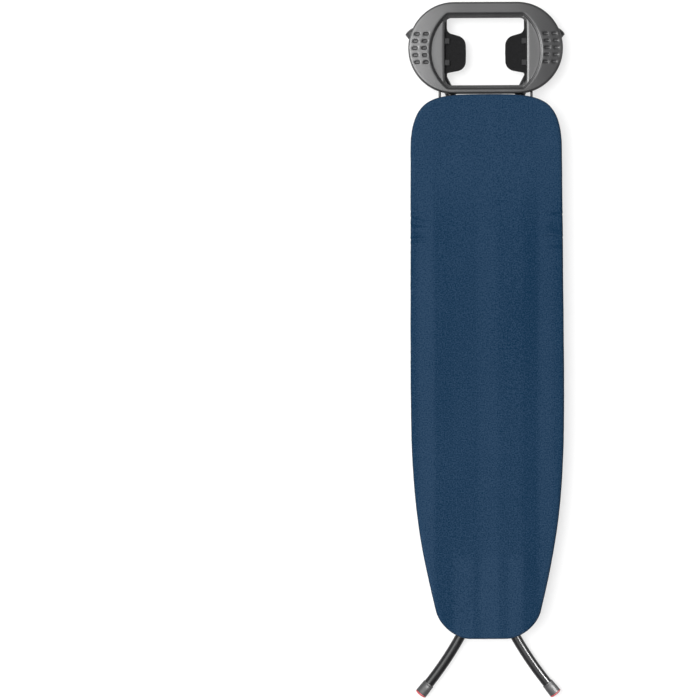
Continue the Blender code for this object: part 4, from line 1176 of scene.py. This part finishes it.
def make_board_steel():
    for place in ("end", "pivot", "middle", "nose"):
        refine(f"cross_member_{place}", "board", "black_paint", 0.0007)
    for node in ("rail_left", "rail_right", "pivot_bracket_left", "pivot_bracket_right", "latch_hanger_nose",
                 "latch_hanger_middle"):
        refine(node, "board", "black_paint", 0.0004)


# ---------------------------------------------------------------- stage

SKY_WIDTH = 0.080
SKY_PEAK = 10.6
SKY_BASE = 0.12
GLINTS = (  # lamps seen in glossy surfaces only: place, where it shines, size, power and spread
    ((1.60, 0.50, 2.40), (0.12, -0.60, 0.02), (0.24, 0.60), 24.0, 35.0),
    ((-1.25, 0.70, 2.30), (0.0, 0.62, 0.04), (0.35, 0.35), 26.0, 180.0),
)


def make_stage():
    bpy.ops.mesh.primitive_plane_add(size=40, location=(0, 0, -0.0005))
    floor = bpy.context.object
    floor.name = "floor"
    look = Look("floor_white", (0.30, 0.30, 0.30), 0.9, Specular_IOR_Level=0.0)
    look.shader.inputs["Emission Color"].default_value = (1, 1, 1, 1)
    look.shader.inputs["Emission Strength"].default_value = 0.68
    floor.data.materials.append(look.material)
    make_sky()
    for place, target, size, power, spread in GLINTS:
        make_glint(Vector(place), Vector(target), size, power, spread)


def make_glint(place, target, size, power, spread):
    data = bpy.data.lights.new("glint", "AREA")
    data.shape = "RECTANGLE"
    data.size, data.size_y = size
    data.energy = power
    data.spread = math.radians(spread)
    lamp = bpy.data.objects.new("glint", data)
    lamp.location = place
    lamp.rotation_euler = (target - place).to_track_quat("-Z", "Y").to_euler()
    lamp.visible_diffuse = False
    bpy.context.scene.collection.objects.link(lamp)


def make_sky():
    """A soft light from above and a little to the left, over dim surroundings."""
    world = bpy.data.worlds.new("studio")
    world.use_nodes = True
    tree = world.node_tree
    aim = Vector((-0.445, 0.10, 1.0)).normalized()
    place = add_node(tree, "TexCoord").outputs["Generated"]
    nearness = add_node(tree, "VectorMath", {0: place, 1: aim}, operation="DOT_PRODUCT").outputs["Value"]
    value = nearness
    for operation, factor, start in (
        ("MULTIPLY_ADD", 1 / SKY_WIDTH, -1 / SKY_WIDTH), ("EXPONENT", 0, 0),
        ("MULTIPLY_ADD", SKY_PEAK, SKY_BASE),
    ):
        value = add_node(tree, "Math", {0: value, 1: factor, 2: start}, operation=operation).outputs[0]
    background = tree.nodes["Background"]
    background.inputs["Color"].default_value = (1, 1, 1, 1)
    tree.links.new(value, background.inputs["Strength"])
    bpy.context.scene.world = world


def make_camera():
    """Straight down, with the object to the right of the middle, as a catalogue picture shows it."""
    scene = bpy.context.scene
    data = bpy.data.cameras.new("camera")
    height, width = 6.0, 1.421
    data.sensor_width = 36.0
    data.lens = data.sensor_width * height / width
    data.clip_end = 100
    camera = bpy.data.objects.new("camera", data)
    camera.location = (-0.279, 0.0021, COVER_TOP + height)
    camera.rotation_euler = (0, 0, math.radians(-0.27))
    scene.collection.objects.link(camera)
    scene.camera = camera
    scene.view_settings.view_transform = "Standard"


def main():
    make_camera()
    make_stage()
    make_cover()
    make_stitches()
    make_pad()
    make_mesh_top()
    make_rim()
    make_board_steel()
    make_iron_rest()
    make_rest_supports()
    make_leg(FRONT_LEG, "front_leg")
    make_leg(REAR_LEG, "rear_leg")
    make_brace("front_leg_brace_upper", 0.250, FRONT_LEG[1], "front_leg")
    make_brace("front_leg_brace_lower", -0.488, 0.0365, "front_leg")
    make_brace("rear_leg_brace", 0.480, REAR_LEG[1], "rear_leg")
    make_fasteners()
    make_latch()
    make_hem_cord()


main()
